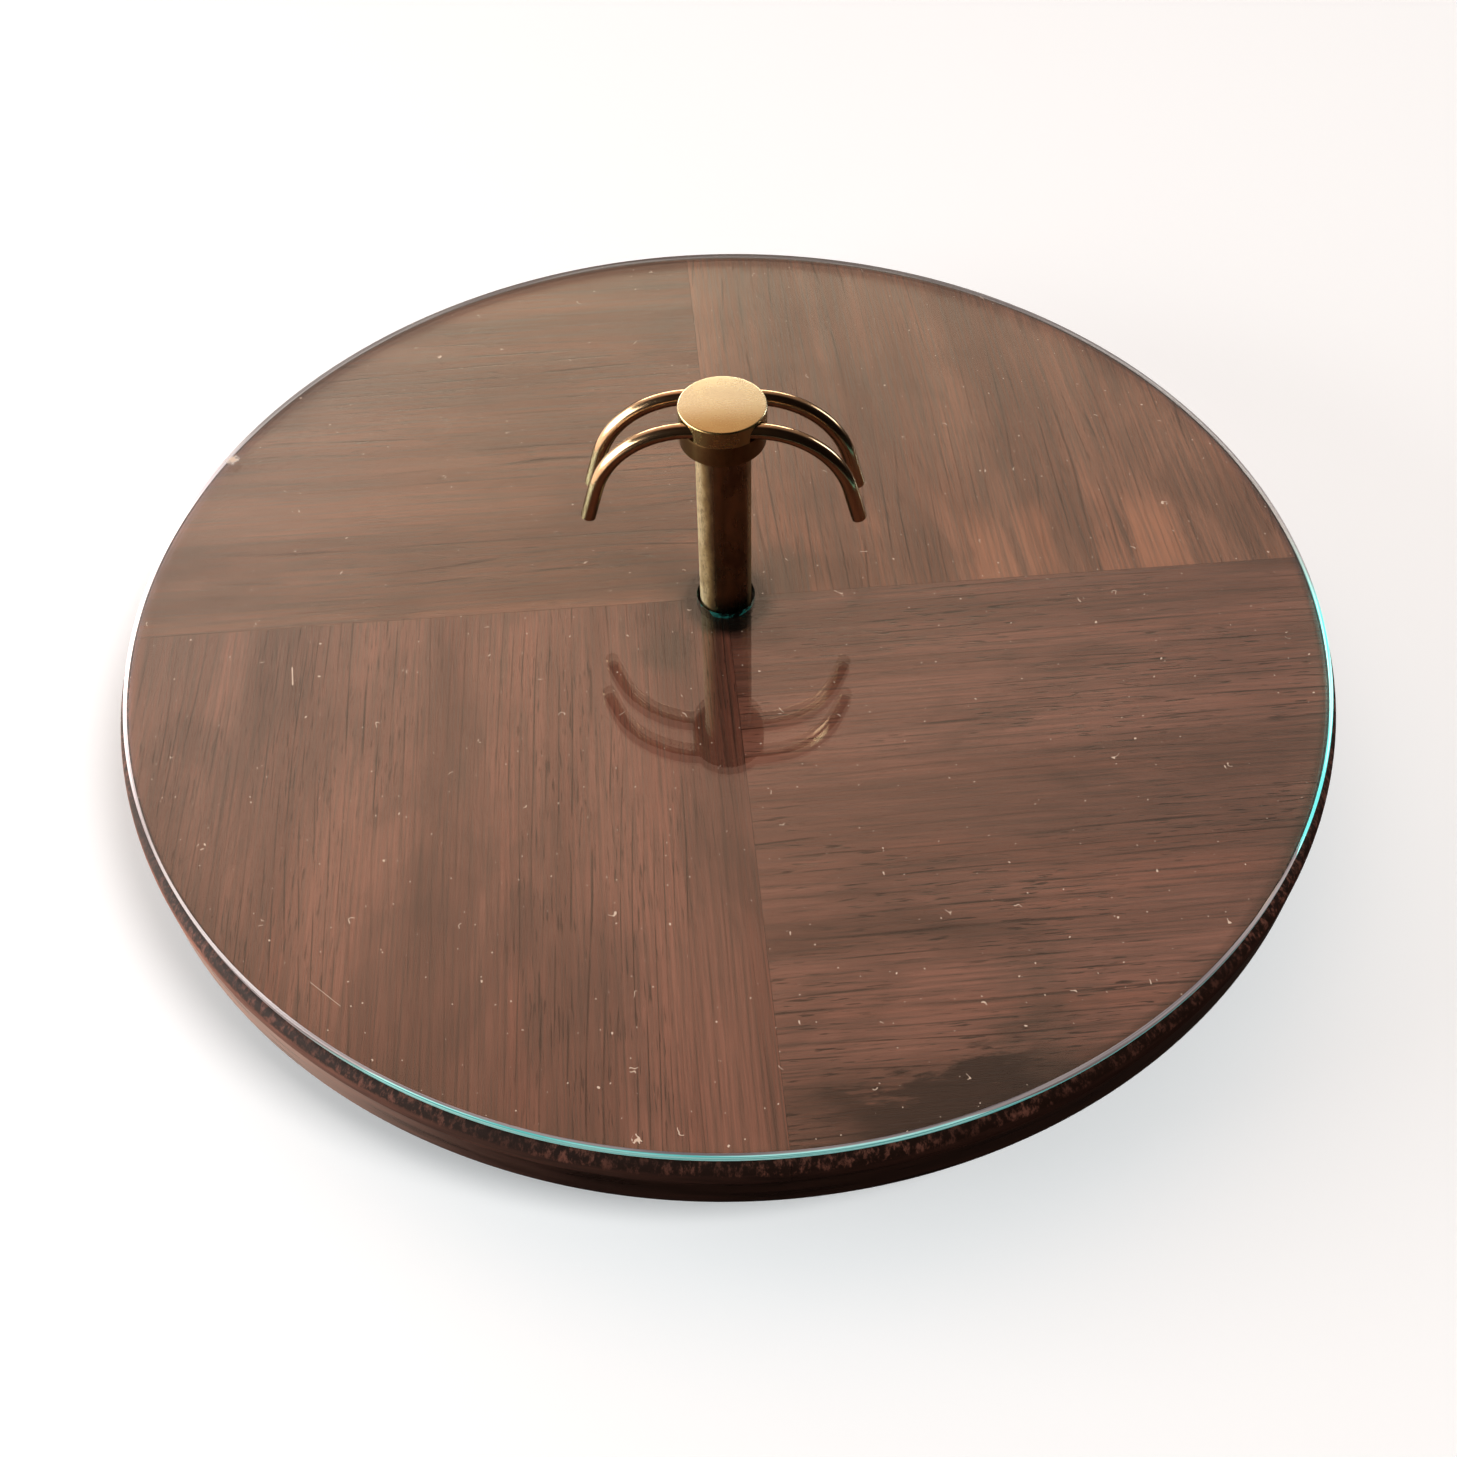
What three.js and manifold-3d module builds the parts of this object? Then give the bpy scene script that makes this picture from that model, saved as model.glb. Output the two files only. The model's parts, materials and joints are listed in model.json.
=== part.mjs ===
// A round wooden lazy susan with a glass plate and a brass carrying handle.
// Millimetres, +Z up, origin on the resting surface under the centre.
// Four feet carry a base disc. A ring bearing on it carries the turning top: a core disc inside a
// rim band, four quarter boards, the glass, and a handle that one tie rod clamps together.

import * as THREE from "three";
import { mergeVertices } from "three/addons/utils/BufferGeometryUtils.js";
import Module from "manifold-3d";

const wasm = await Module();
wasm.setup();

// ---------------------------------------------------------------- driving dimensions

const GAP = 0.1; // left between pieces that touch face to face
const FIT = 0.3; // left round a piece that sits in a hole or a groove

const FOOT_RADIUS = 10;
const FOOT_HEIGHT = 3;
const FOOT_CIRCLE = 118;
const FOOT_COUNT = 4;

const BASE_RADIUS = 140;
const BASE_THICKNESS = 15;
const BASE_ROUNDING = 3;
const ACCESS_HOLE_RADIUS = 7; // lets a screwdriver reach the outer ring's screws

const BALL_RADIUS = 2.5;
const BALL_COUNT = 16;
const BALL_CIRCLE = 74;
const GROOVE_RADIUS = 2.9;
const RING_WIDTH = 14;
const RING_HEIGHT = 9.4;
const RING_OFFSET = 1.5; // the outer ring stands this much higher than the inner one
const RING_SPLIT = 1.2; // from the ball circle to either ring's face
const CAGE_THICKNESS = 1.8;
const CAGE_HEIGHT = 7;

const SCREW_LENGTH = 16;
const SCREW_RADIUS = 2;
const SCREW_HEAD_RADIUS = 4;
const SCREW_HEAD_HEIGHT = 2.6;
const SCREW_SINK = 0.4; // how far a screw head lies below its ring's face
const SCREW_COUNT = 4;

const TOP_RADIUS = 210;
const CORE_THICKNESS = 10;
const BAND_WIDTH = 12;
const BAND_DROP = 4; // the rim band hangs this far below the core disc
const BAND_ROUNDING = 1.5;
const BOARD_THICKNESS = 6.8;
const BOARD_ROUNDING = 5.3;
const BOARD_TURN = THREE.MathUtils.degToRad(4);
const BOARD_COUNT = 4;

const GLASS_RADIUS = 206.8;
const GLASS_THICKNESS = 4;
const GLASS_ARRIS = 0.8;
const GLASS_HOLE_RADIUS = 10.2;

const STEM_RADIUS = 9;
const STEM_BORE = 7.5;
const STEM_ABOVE_GLASS = 69.8;
const COLLAR_RADIUS = 13.8;
const COLLAR_HEIGHT = 7.3;
const SPIGOT_DEPTH = 5; // the collar's plug inside the stem
const CAP_RADIUS = 14;
const CAP_HEIGHT = 6.5;
const CAP_CHAMFER = 0.5;

const ARM_RADIUS = 2.5;
const ARM_OFFSET = 8.1; // from the middle of the cap to either arm's centre line
const ARM_STRAIGHT = 9.5; // half of the straight stretch through the cap
const ARM_BEND_RADIUS = 32.4;
const ARM_BEND = THREE.MathUtils.degToRad(74);
const ARM_END = 13;
const HANDLE_TURN = THREE.MathUtils.degToRad(-2);

const TIE_RADIUS = 3;
const TIE_TAIL = 7.6; // length of the tie rod below the core disc
const TIE_DEPTH = 5; // length of the tie rod inside the cap
const WASHER_RADIUS = 9;
const WASHER_THICKNESS = 1.6;
const NUT_ACROSS_FLATS = 10;
const NUT_HEIGHT = 5;

const LARGE = 72; // sides of the big discs
const MEDIUM = 48; // sides of the bearing's rings
const SMALL = 20; // sides of the stem, the cap and the other small round pieces
const TINY = 10; // sides of the screws, their holes and the arms

// ---------------------------------------------------------------- heights above the surface

const BASE_Z = FOOT_HEIGHT + GAP;
const BEARING_Z = BASE_Z + BASE_THICKNESS + GAP;
const OUTER_RING_Z = BEARING_Z + RING_OFFSET;
const BALL_Z = BEARING_Z + (RING_HEIGHT + RING_OFFSET) / 2;
const CORE_Z = OUTER_RING_Z + RING_HEIGHT + GAP;
const BOARD_Z = CORE_Z + CORE_THICKNESS + GAP;
const GLASS_Z = BOARD_Z + BOARD_THICKNESS + GAP;
const COLLAR_Z = GLASS_Z + GLASS_THICKNESS + STEM_ABOVE_GLASS;
const CAP_Z = COLLAR_Z + COLLAR_HEIGHT + 2 * GAP;
const ARM_Z = CAP_Z + ARM_RADIUS;

const INNER_SCREW_CIRCLE = BALL_CIRCLE - RING_SPLIT - RING_WIDTH / 2;
const OUTER_SCREW_CIRCLE = BALL_CIRCLE + RING_SPLIT + RING_WIDTH / 2;

// ---------------------------------------------------------------- materials

const rosewood = { color: 0x5c2f22, roughness: 0.35, metalness: 0 };
const darkWood = { color: 0x3a1f17, roughness: 0.45, metalness: 0 };
const plywood = { color: 0xb08a5c, roughness: 0.7, metalness: 0 };
const clearGlass = { color: 0xcfe6e2, roughness: 0.03, metalness: 0, transparent: true, opacity: 0.35 };
const agedBrass = { color: 0xb08d57, roughness: 0.32, metalness: 1 };
const aluminium = { color: 0xb9bcc0, roughness: 0.4, metalness: 1 };
const steel = { color: 0x9a9ca0, roughness: 0.3, metalness: 1 };
const polishedSteel = { color: 0xc8cacd, roughness: 0.12, metalness: 1 };
const nylon = { color: 0xe6e1d3, roughness: 0.55, metalness: 0 };
const rubber = { color: 0x1d1c1b, roughness: 0.85, metalness: 0 };

// ---------------------------------------------------------------- helpers

// A named mesh with a material of its own.
function piece(name, geometry, finish) {
  const mesh = new THREE.Mesh(geometry, new THREE.MeshStandardMaterial(finish));
  mesh.name = name;
  return mesh;
}

// A profile of [radius, height] pairs turned round the Z axis.
function turned(profile, sides) {
  const points = profile.map(([radius, height]) => new THREE.Vector2(radius, height));
  return new THREE.LatheGeometry(points, sides).rotateX(Math.PI / 2);
}

// A ring of rectangular section that stands on z = 0.
function ring(inner, outer, height, sides) {
  return turned([[inner, 0], [outer, 0], [outer, height], [inner, height], [inner, 0]], sides);
}

// Points of an arc in a profile, from one angle to another in degrees.
function arc(centreRadius, centreHeight, radius, from, to, steps) {
  const points = [];
  for (let step = 0; step <= steps; step++) {
    const angle = THREE.MathUtils.degToRad(from + ((to - from) * step) / steps);
    points.push([centreRadius + radius * Math.cos(angle), centreHeight + radius * Math.sin(angle)]);
  }
  return points;
}

// An upright cylinder that stands on z = 0.
function post(radius, height, sides) {
  return new THREE.CylinderGeometry(radius, radius, height, sides)
    .rotateX(Math.PI / 2)
    .translate(0, 0, height / 2);
}

// A closed geometry as a solid that can be joined and cut.
function toSolid(geometry) {
  const bare = geometry.clone();
  bare.deleteAttribute("normal");
  bare.deleteAttribute("uv");
  const merged = mergeVertices(bare, 1e-4);
  const triangles = [];
  for (let i = 0; i < merged.index.count; i += 3) {
    const [a, b, c] = [0, 1, 2].map((corner) => merged.index.getX(i + corner));
    if (a !== b && b !== c && c !== a) triangles.push(a, b, c);
  }
  const vertProperties = new Float32Array(merged.attributes.position.array);
  const triVerts = new Uint32Array(triangles);
  return new wasm.Manifold(new wasm.Mesh({ numProp: 3, vertProperties, triVerts }));
}

// A solid as a geometry again.
function toGeometry(solid) {
  const mesh = solid.getMesh();
  const geometry = new THREE.BufferGeometry();
  geometry.setAttribute("position", new THREE.BufferAttribute(mesh.vertProperties, 3));
  geometry.setIndex(new THREE.BufferAttribute(mesh.triVerts, 1));
  geometry.computeVertexNormals();
  return geometry;
}

// A geometry with others cut out of it.
function cut(geometry, ...tools) {
  return toGeometry(tools.reduce((body, tool) => body.subtract(toSolid(tool)), toSolid(geometry)));
}

// Angles of evenly spaced copies round a circle.
function aroundCircle(count, start = 0) {
  return Array.from({ length: count }, (_, index) => start + (index * 2 * Math.PI) / count);
}

// A point on a circle round the Z axis.
function onCircle(radius, angle, height) {
  return new THREE.Vector3(radius * Math.cos(angle), radius * Math.sin(angle), height);
}

// Upright holes, one at each angle of a circle.
function holes(radius, depth, circle, angles, height) {
  return angles.map((angle) => post(radius, depth, TINY).translate(...onCircle(circle, angle, height)));
}

const INNER_SCREW_ANGLES = aroundCircle(SCREW_COUNT);
const OUTER_SCREW_ANGLES = aroundCircle(SCREW_COUNT, Math.PI / SCREW_COUNT);

// ---------------------------------------------------------------- base and feet

function baseDisc() {
  const top = BASE_THICKNESS;
  const flat = BASE_RADIUS - BASE_ROUNDING;
  const disc = turned(
    [
      [0, 0],
      ...arc(flat, BASE_ROUNDING, BASE_ROUNDING, -90, 0, 2),
      ...arc(flat, top - BASE_ROUNDING, BASE_ROUNDING, 0, 90, 2),
      [0, top],
    ],
    LARGE,
  );
  const holeDepth = SCREW_LENGTH - RING_HEIGHT + SCREW_SINK + FIT;
  const pilots = holes(SCREW_RADIUS + FIT, holeDepth + 1, INNER_SCREW_CIRCLE, INNER_SCREW_ANGLES, top - holeDepth);
  const access = post(ACCESS_HOLE_RADIUS, top + 2, SMALL);
  access.translate(...onCircle(OUTER_SCREW_CIRCLE, OUTER_SCREW_ANGLES[0], -1));
  return cut(disc, ...pilots, access);
}

// A pad with a slightly smaller sole.
function foot() {
  return turned([[0, 0], [FOOT_RADIUS - 1, 0], [FOOT_RADIUS, 1], [FOOT_RADIUS, FOOT_HEIGHT], [0, FOOT_HEIGHT]], SMALL);
}

function feet() {
  return aroundCircle(FOOT_COUNT, Math.PI / FOOT_COUNT).map((angle, index) => {
    const mesh = piece(`foot_${index + 1}`, foot(), rubber);
    mesh.position.copy(onCircle(FOOT_CIRCLE, angle, 0));
    return mesh;
  });
}

// ---------------------------------------------------------------- ring bearing

// A countersunk hole through a ring, its wide mouth at the top.
function countersink() {
  const mouth = SCREW_HEAD_RADIUS + FIT;
  const shaft = SCREW_RADIUS + FIT;
  const seat = RING_HEIGHT - SCREW_SINK - SCREW_HEAD_HEIGHT;
  return turned(
    [[0, -1], [shaft, -1], [shaft, seat], [mouth, RING_HEIGHT - SCREW_SINK], [mouth, RING_HEIGHT + 1], [0, RING_HEIGHT + 1]],
    TINY,
  );
}

// Half of the balls' groove, as profile points along a ring's face.
function groove(height, from, to) {
  return arc(BALL_CIRCLE, height, GROOVE_RADIUS, from, to, 4);
}

// Angle at which the groove's circle meets a ring's face.
const GROOVE_EDGE = THREE.MathUtils.radToDeg(Math.acos(RING_SPLIT / GROOVE_RADIUS));

function innerRing() {
  const face = BALL_CIRCLE - RING_SPLIT;
  const back = face - RING_WIDTH;
  const ballHeight = BALL_Z - BEARING_Z;
  const body = turned(
    [
      [back, 0],
      [face, 0],
      ...groove(ballHeight, 180 + GROOVE_EDGE, 180 - GROOVE_EDGE),
      [face, RING_HEIGHT],
      [back, RING_HEIGHT],
      [back, 0],
    ],
    MEDIUM,
  );
  const sinks = INNER_SCREW_ANGLES.map((angle) =>
    countersink().translate(...onCircle(INNER_SCREW_CIRCLE, angle, 0)),
  );
  return cut(body, ...sinks);
}

function outerRing() {
  const face = BALL_CIRCLE + RING_SPLIT;
  const back = face + RING_WIDTH;
  const ballHeight = BALL_Z - OUTER_RING_Z;
  const body = turned(
    [
      [back, 0],
      [back, RING_HEIGHT],
      [face, RING_HEIGHT],
      ...groove(ballHeight, GROOVE_EDGE, -GROOVE_EDGE),
      [face, 0],
      [back, 0],
    ],
    MEDIUM,
  );
  const sinks = OUTER_SCREW_ANGLES.map((angle) =>
    countersink()
      .rotateX(Math.PI)
      .translate(...onCircle(OUTER_SCREW_CIRCLE, angle, RING_HEIGHT)),
  );
  return cut(body, ...sinks);
}

// A thin ring with a round pocket for each ball.
function cage() {
  const inner = BALL_CIRCLE - CAGE_THICKNESS / 2;
  const body = ring(inner, inner + CAGE_THICKNESS, CAGE_HEIGHT, MEDIUM);
  const pocketRadius = BALL_RADIUS + FIT;
  const pockets = aroundCircle(BALL_COUNT).map((angle) =>
    new THREE.CylinderGeometry(pocketRadius, pocketRadius, 3 * CAGE_THICKNESS, TINY)
      .rotateZ(angle + Math.PI / 2)
      .translate(...onCircle(BALL_CIRCLE, angle, CAGE_HEIGHT / 2)),
  );
  return cut(body, ...pockets);
}

function balls() {
  return aroundCircle(BALL_COUNT).map((angle, index) => {
    const name = `ball_${String(index + 1).padStart(2, "0")}`;
    const mesh = piece(name, new THREE.SphereGeometry(BALL_RADIUS, 8, 6), polishedSteel);
    mesh.position.copy(onCircle(BALL_CIRCLE, angle, BALL_Z));
    return mesh;
  });
}

// A countersunk wood screw with a cross recess. Its head's face is at z = 0 and it points down.
function woodScrew() {
  const body = turned(
    [
      [0, -SCREW_LENGTH],
      [SCREW_RADIUS, 2 * SCREW_RADIUS - SCREW_LENGTH],
      [SCREW_RADIUS, -SCREW_HEAD_HEIGHT],
      [SCREW_HEAD_RADIUS, -0.3],
      [SCREW_HEAD_RADIUS, 0],
      [0, 0],
    ],
    TINY,
  );
  const slot = new THREE.BoxGeometry(4.6, 0.9, 2.8);
  const crossSlot = new THREE.BoxGeometry(0.9, 4.6, 2.8);
  return cut(body, slot, crossSlot);
}

function innerRingScrews() {
  return INNER_SCREW_ANGLES.map((angle, index) => {
    const mesh = piece(`base_screw_${index + 1}`, woodScrew(), steel);
    mesh.position.copy(onCircle(INNER_SCREW_CIRCLE, angle, BEARING_Z + RING_HEIGHT - SCREW_SINK));
    return mesh;
  });
}

function outerRingScrews() {
  return OUTER_SCREW_ANGLES.map((angle, index) => {
    const mesh = piece(`top_screw_${index + 1}`, woodScrew().rotateX(Math.PI), steel);
    mesh.position.copy(onCircle(OUTER_SCREW_CIRCLE, angle, OUTER_RING_Z + SCREW_SINK));
    return mesh;
  });
}

// ---------------------------------------------------------------- turning wooden top

function coreDisc() {
  const radius = TOP_RADIUS - BAND_WIDTH - FIT;
  const disc = post(radius, CORE_THICKNESS, LARGE);
  const holeDepth = SCREW_LENGTH - RING_HEIGHT + SCREW_SINK + FIT;
  const pilots = holes(SCREW_RADIUS + FIT, holeDepth + 1, OUTER_SCREW_CIRCLE, OUTER_SCREW_ANGLES, -1);
  const centre = post(TIE_RADIUS + FIT, CORE_THICKNESS + 2, SMALL).translate(0, 0, -1);
  return cut(disc, ...pilots, centre);
}

function rimBand() {
  const height = BAND_DROP + CORE_THICKNESS;
  const inner = TOP_RADIUS - BAND_WIDTH;
  return turned(
    [
      [inner, 0],
      ...arc(TOP_RADIUS - BAND_ROUNDING, BAND_ROUNDING, BAND_ROUNDING, -90, 0, 2),
      [TOP_RADIUS, height],
      [inner, height],
      [inner, 0],
    ],
    LARGE,
  );
}

// One quarter of the top layer, round the positive X and Y directions.
function quarterBoard() {
  const flat = TOP_RADIUS - BOARD_ROUNDING;
  const edge = arc(flat, BOARD_THICKNESS - BOARD_ROUNDING, BOARD_ROUNDING, 0, 90, 4);
  const disc = turned([[0, 0], [TOP_RADIUS, 0], ...edge, [0, BOARD_THICKNESS]], LARGE);
  const seam = FIT / 2;
  const quarter = new THREE.BoxGeometry(TOP_RADIUS, TOP_RADIUS, 3 * BOARD_THICKNESS);
  quarter.translate(TOP_RADIUS / 2 + seam, TOP_RADIUS / 2 + seam, 0);
  const stemHole = post(STEM_RADIUS + FIT, 3 * BOARD_THICKNESS, SMALL).translate(0, 0, -BOARD_THICKNESS);
  return toGeometry(toSolid(disc).intersect(toSolid(quarter)).subtract(toSolid(stemHole)));
}

function quarterBoards() {
  const boards = new THREE.Group();
  boards.position.z = BOARD_Z;
  boards.rotation.z = BOARD_TURN;
  aroundCircle(BOARD_COUNT).forEach((angle, index) => {
    const mesh = piece(`quarter_board_${index + 1}`, quarterBoard(), rosewood);
    mesh.rotation.z = angle;
    boards.add(mesh);
  });
  return boards;
}

function glassPlate() {
  const flat = GLASS_RADIUS - GLASS_ARRIS;
  const top = GLASS_THICKNESS;
  return turned(
    [
      [GLASS_HOLE_RADIUS, 0],
      [flat, 0],
      [GLASS_RADIUS, GLASS_ARRIS],
      [GLASS_RADIUS, top - GLASS_ARRIS],
      [flat, top],
      [GLASS_HOLE_RADIUS, top],
      [GLASS_HOLE_RADIUS, 0],
    ],
    LARGE,
  );
}

// ---------------------------------------------------------------- handle

// The centre line of an arm: straight through the cap, then bent down and straight again at both ends.
class ArmLine extends THREE.Curve {
  constructor() {
    super();
    this.bendLength = ARM_BEND_RADIUS * ARM_BEND;
    this.halfLength = ARM_STRAIGHT + this.bendLength + ARM_END;
  }

  getPoint(t, target = new THREE.Vector3()) {
    const along = (2 * t - 1) * this.halfLength;
    const past = Math.abs(along) - ARM_STRAIGHT;
    const turn = Math.min(Math.max(past / ARM_BEND_RADIUS, 0), ARM_BEND);
    const end = Math.max(past - this.bendLength, 0);
    const reach = ARM_STRAIGHT + Math.min(past, 0) + ARM_BEND_RADIUS * Math.sin(turn) + end * Math.cos(turn);
    const drop = ARM_BEND_RADIUS * (1 - Math.cos(turn)) + end * Math.sin(turn);
    return target.set(Math.sign(along) * reach, 0, -drop);
  }
}

function arm() {
  const section = new THREE.Shape().absarc(0, 0, ARM_RADIUS, 0, 2 * Math.PI);
  const options = { extrudePath: new ArmLine(), steps: 28, curveSegments: TINY / 2, bevelEnabled: false };
  return new THREE.ExtrudeGeometry(section, options);
}

// Both arms lie side by side along X, on the collar and in the cap's grooves.
function arms() {
  return [["front_arm", -ARM_OFFSET], ["back_arm", ARM_OFFSET]].map(([name, y]) => {
    const mesh = piece(name, arm(), agedBrass);
    mesh.position.set(0, y, ARM_Z);
    return mesh;
  });
}

// A groove for one arm, open at the cap's underside.
function capGroove(y) {
  const radius = ARM_RADIUS + FIT;
  const length = 4 * CAP_RADIUS;
  const roof = new THREE.CylinderGeometry(radius, radius, length, 2 * TINY).rotateZ(Math.PI / 2);
  const mouth = new THREE.BoxGeometry(length, 2 * radius, 2 * radius).translate(0, 0, -radius);
  return toGeometry(toSolid(roof).add(toSolid(mouth))).translate(0, y, ARM_RADIUS);
}

function cap() {
  const body = turned(
    [
      [0, 0],
      [CAP_RADIUS, 0],
      [CAP_RADIUS, CAP_HEIGHT - CAP_CHAMFER],
      [CAP_RADIUS - CAP_CHAMFER, CAP_HEIGHT],
      [0, CAP_HEIGHT],
    ],
    2 * SMALL,
  );
  const thread = post(TIE_RADIUS + FIT, TIE_DEPTH + FIT + 1, SMALL).translate(0, 0, -1);
  return cut(body, capGroove(-ARM_OFFSET), capGroove(ARM_OFFSET), thread);
}

// The seat under the arms, with a plug that centres it in the stem.
function collar() {
  const hole = TIE_RADIUS + FIT;
  const spigot = STEM_BORE - FIT;
  return turned(
    [
      [hole, -SPIGOT_DEPTH],
      [spigot, -SPIGOT_DEPTH],
      [spigot, GAP],
      [COLLAR_RADIUS, GAP],
      [COLLAR_RADIUS, COLLAR_HEIGHT],
      [hole, COLLAR_HEIGHT],
      [hole, -SPIGOT_DEPTH],
    ],
    2 * SMALL,
  );
}

// The tie rod's chamfered ends lie in the cap and below the nut.
function tieRod() {
  const bottom = -TIE_TAIL;
  const top = CAP_Z - CORE_Z + TIE_DEPTH;
  const tip = TIE_RADIUS - 0.6;
  return turned(
    [[0, bottom], [tip, bottom], [TIE_RADIUS, bottom + 0.6], [TIE_RADIUS, top - 0.6], [tip, top], [0, top]],
    SMALL,
  );
}

function nut() {
  const corner = NUT_ACROSS_FLATS / Math.sqrt(3);
  const hexagon = new THREE.Shape(aroundCircle(6).map((angle) => {
    const { x, y } = onCircle(corner, angle, 0);
    return new THREE.Vector2(x, y);
  }));
  hexagon.holes.push(new THREE.Path().absarc(0, 0, TIE_RADIUS + FIT, 0, 2 * Math.PI, true));
  return new THREE.ExtrudeGeometry(hexagon, { depth: NUT_HEIGHT, curveSegments: SMALL, bevelEnabled: false });
}

// ---------------------------------------------------------------- assembly

function at(z, mesh) {
  mesh.position.z = z;
  return mesh;
}

const base = new THREE.Group();
base.add(
  at(BASE_Z, piece("base_disc", baseDisc(), darkWood)),
  ...feet(),
  at(BEARING_Z, piece("bearing_inner_ring", innerRing(), aluminium)),
  ...innerRingScrews(),
);

const ballCage = new THREE.Group();
ballCage.add(at(BALL_Z - CAGE_HEIGHT / 2, piece("ball_cage", cage(), nylon)), ...balls());

const handle = new THREE.Group();
handle.rotation.z = HANDLE_TURN;
const washerZ = CORE_Z - GAP - WASHER_THICKNESS;
handle.add(
  at(BOARD_Z, piece("stem", ring(STEM_BORE, STEM_RADIUS, COLLAR_Z - BOARD_Z, SMALL), agedBrass)),
  at(COLLAR_Z, piece("collar", collar(), agedBrass)),
  ...arms(),
  at(CAP_Z, piece("cap", cap(), agedBrass)),
  at(CORE_Z, piece("tie_rod", tieRod(), steel)),
  at(washerZ, piece("washer", ring(TIE_RADIUS + FIT, WASHER_RADIUS, WASHER_THICKNESS, SMALL), steel)),
  at(washerZ - GAP - NUT_HEIGHT, piece("nut", nut(), steel)),
);

const turntable = new THREE.Group();
turntable.add(
  at(OUTER_RING_Z, piece("bearing_outer_ring", outerRing(), aluminium)),
  ...outerRingScrews(),
  at(CORE_Z, piece("core_disc", coreDisc(), plywood)),
  at(CORE_Z - BAND_DROP, piece("rim_band", rimBand(), rosewood)),
  quarterBoards(),
  at(GLASS_Z, piece("glass_plate", glassPlate(), clearGlass)),
  handle,
);

const lazySusan = new THREE.Group();
lazySusan.add(base, ballCage, turntable);

export default lazySusan;
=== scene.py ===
import json
import math

import bmesh
import bpy
from mathutils import Matrix, Vector


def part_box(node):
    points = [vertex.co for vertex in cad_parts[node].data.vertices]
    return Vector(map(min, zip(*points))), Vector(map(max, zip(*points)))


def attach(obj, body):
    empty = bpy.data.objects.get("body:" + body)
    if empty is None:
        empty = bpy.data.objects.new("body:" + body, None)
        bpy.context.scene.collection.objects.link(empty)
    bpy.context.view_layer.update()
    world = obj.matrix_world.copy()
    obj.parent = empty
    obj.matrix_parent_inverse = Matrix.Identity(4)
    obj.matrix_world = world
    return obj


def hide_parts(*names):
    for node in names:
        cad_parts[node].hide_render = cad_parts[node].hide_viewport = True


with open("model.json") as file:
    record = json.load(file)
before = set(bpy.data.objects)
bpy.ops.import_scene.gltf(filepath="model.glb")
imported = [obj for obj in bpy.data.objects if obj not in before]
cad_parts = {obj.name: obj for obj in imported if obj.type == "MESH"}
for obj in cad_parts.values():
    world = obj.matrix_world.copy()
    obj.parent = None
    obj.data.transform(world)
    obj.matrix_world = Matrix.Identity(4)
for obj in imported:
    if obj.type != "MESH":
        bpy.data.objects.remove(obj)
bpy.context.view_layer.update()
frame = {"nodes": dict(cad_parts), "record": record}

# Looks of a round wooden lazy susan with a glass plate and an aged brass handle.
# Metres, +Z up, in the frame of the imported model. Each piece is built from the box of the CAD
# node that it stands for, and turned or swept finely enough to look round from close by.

MM = 0.001
TAU = 2 * math.pi

# ---------------------------------------------------------------- sizes

BIG_SIDES = 360  # sides of the discs that make the object's outline
ROUND_SIDES = 96  # sides of the handle's turned pieces
SMALL_SIDES = 48  # sides of holes, feet and balls
SHARP_ANGLE = math.radians(35)  # edges that turn by more are shown crisp

BOARD_TURN = math.radians(4)
BOARD_ROUNDING = 5.3 * MM
BOARD_SEAM = 0.05 * MM  # half of the gap between two boards
STEM_HOLE = 9.3 * MM
BAND_WIDTH = 12 * MM
BAND_ROUNDING = 1.5 * MM
BASE_ROUNDING = 3 * MM
ACCESS_HOLE = 7 * MM
GLASS_ARRIS = 0.8 * MM
GLASS_HOLE = 10.2 * MM
PLY_PAIR = 2.5 * MM  # thickness of one light and one dark layer of plywood
FOOT_ROUNDING = 0.9 * MM

HANDLE_TURN = math.radians(-2)
STEM_BORE = 7.5 * MM
STEM_SOFTENING = 0.15 * MM
COLLAR_SOFTENING = 0.2 * MM
CAP_SOFTENING = 0.1 * MM
TIE_HOLE = 3.3 * MM
SPIGOT_RADIUS = 7.2 * MM
SPIGOT_DEPTH = 5 * MM
SPIGOT_PLAY = 0.1 * MM
ARM_RADIUS = 2.5 * MM
ARM_SIDES = 40
ARM_BEND_STEPS = 32
ARM_TIP = 0.4 * MM  # how far the ends of an arm are softened
ARM_OFFSET = 8.1 * MM
ARM_STRAIGHT = 9.5 * MM
ARM_BEND_RADIUS = 32.4 * MM
ARM_BEND = math.radians(74)
ARM_END = 13 * MM
GROOVE_PLAY = 0.3 * MM
GROOVE_REACH = 30 * MM
THREAD_DEPTH = 5.3 * MM
CAP_DOME = 0.35 * MM  # how much lower the rim of the cap is than its middle
CAP_ROUNDING = 0.55 * MM

BALL_CIRCLE = 74 * MM
BALL_GROOVE = 2.9 * MM
RING_WIDTH = 14 * MM
RING_SPLIT = 1.2 * MM
SCREW_PLAY = 2.3 * MM
SCREW_HEAD_PLAY = 4.3 * MM
SCREW_SINK = 0.4 * MM
SCREW_HEAD_HEIGHT = 2.6 * MM
SCREW_HOLE_DEPTH = 12 * MM
PILOT_PLAY = 0.3 * MM


def node_radius(node):
    """Outer radius of a round CAD node."""
    low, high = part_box(node)
    return (high.x - low.x) / 2


def node_heights(node):
    """Lowest and highest Z of a CAD node."""
    low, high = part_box(node)
    return low.z, high.z


def node_centre(node):
    low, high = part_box(node)
    return (low + high) / 2


# ---------------------------------------------------------------- meshes


def arc(centre, radius, start, end, steps):
    """Profile points of an arc round centre, angles in degrees."""
    points = []
    for step in range(steps + 1):
        angle = math.radians(start + (end - start) * step / steps)
        points.append((centre[0] + radius * math.cos(angle), centre[1] + radius * math.sin(angle)))
    return points


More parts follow.
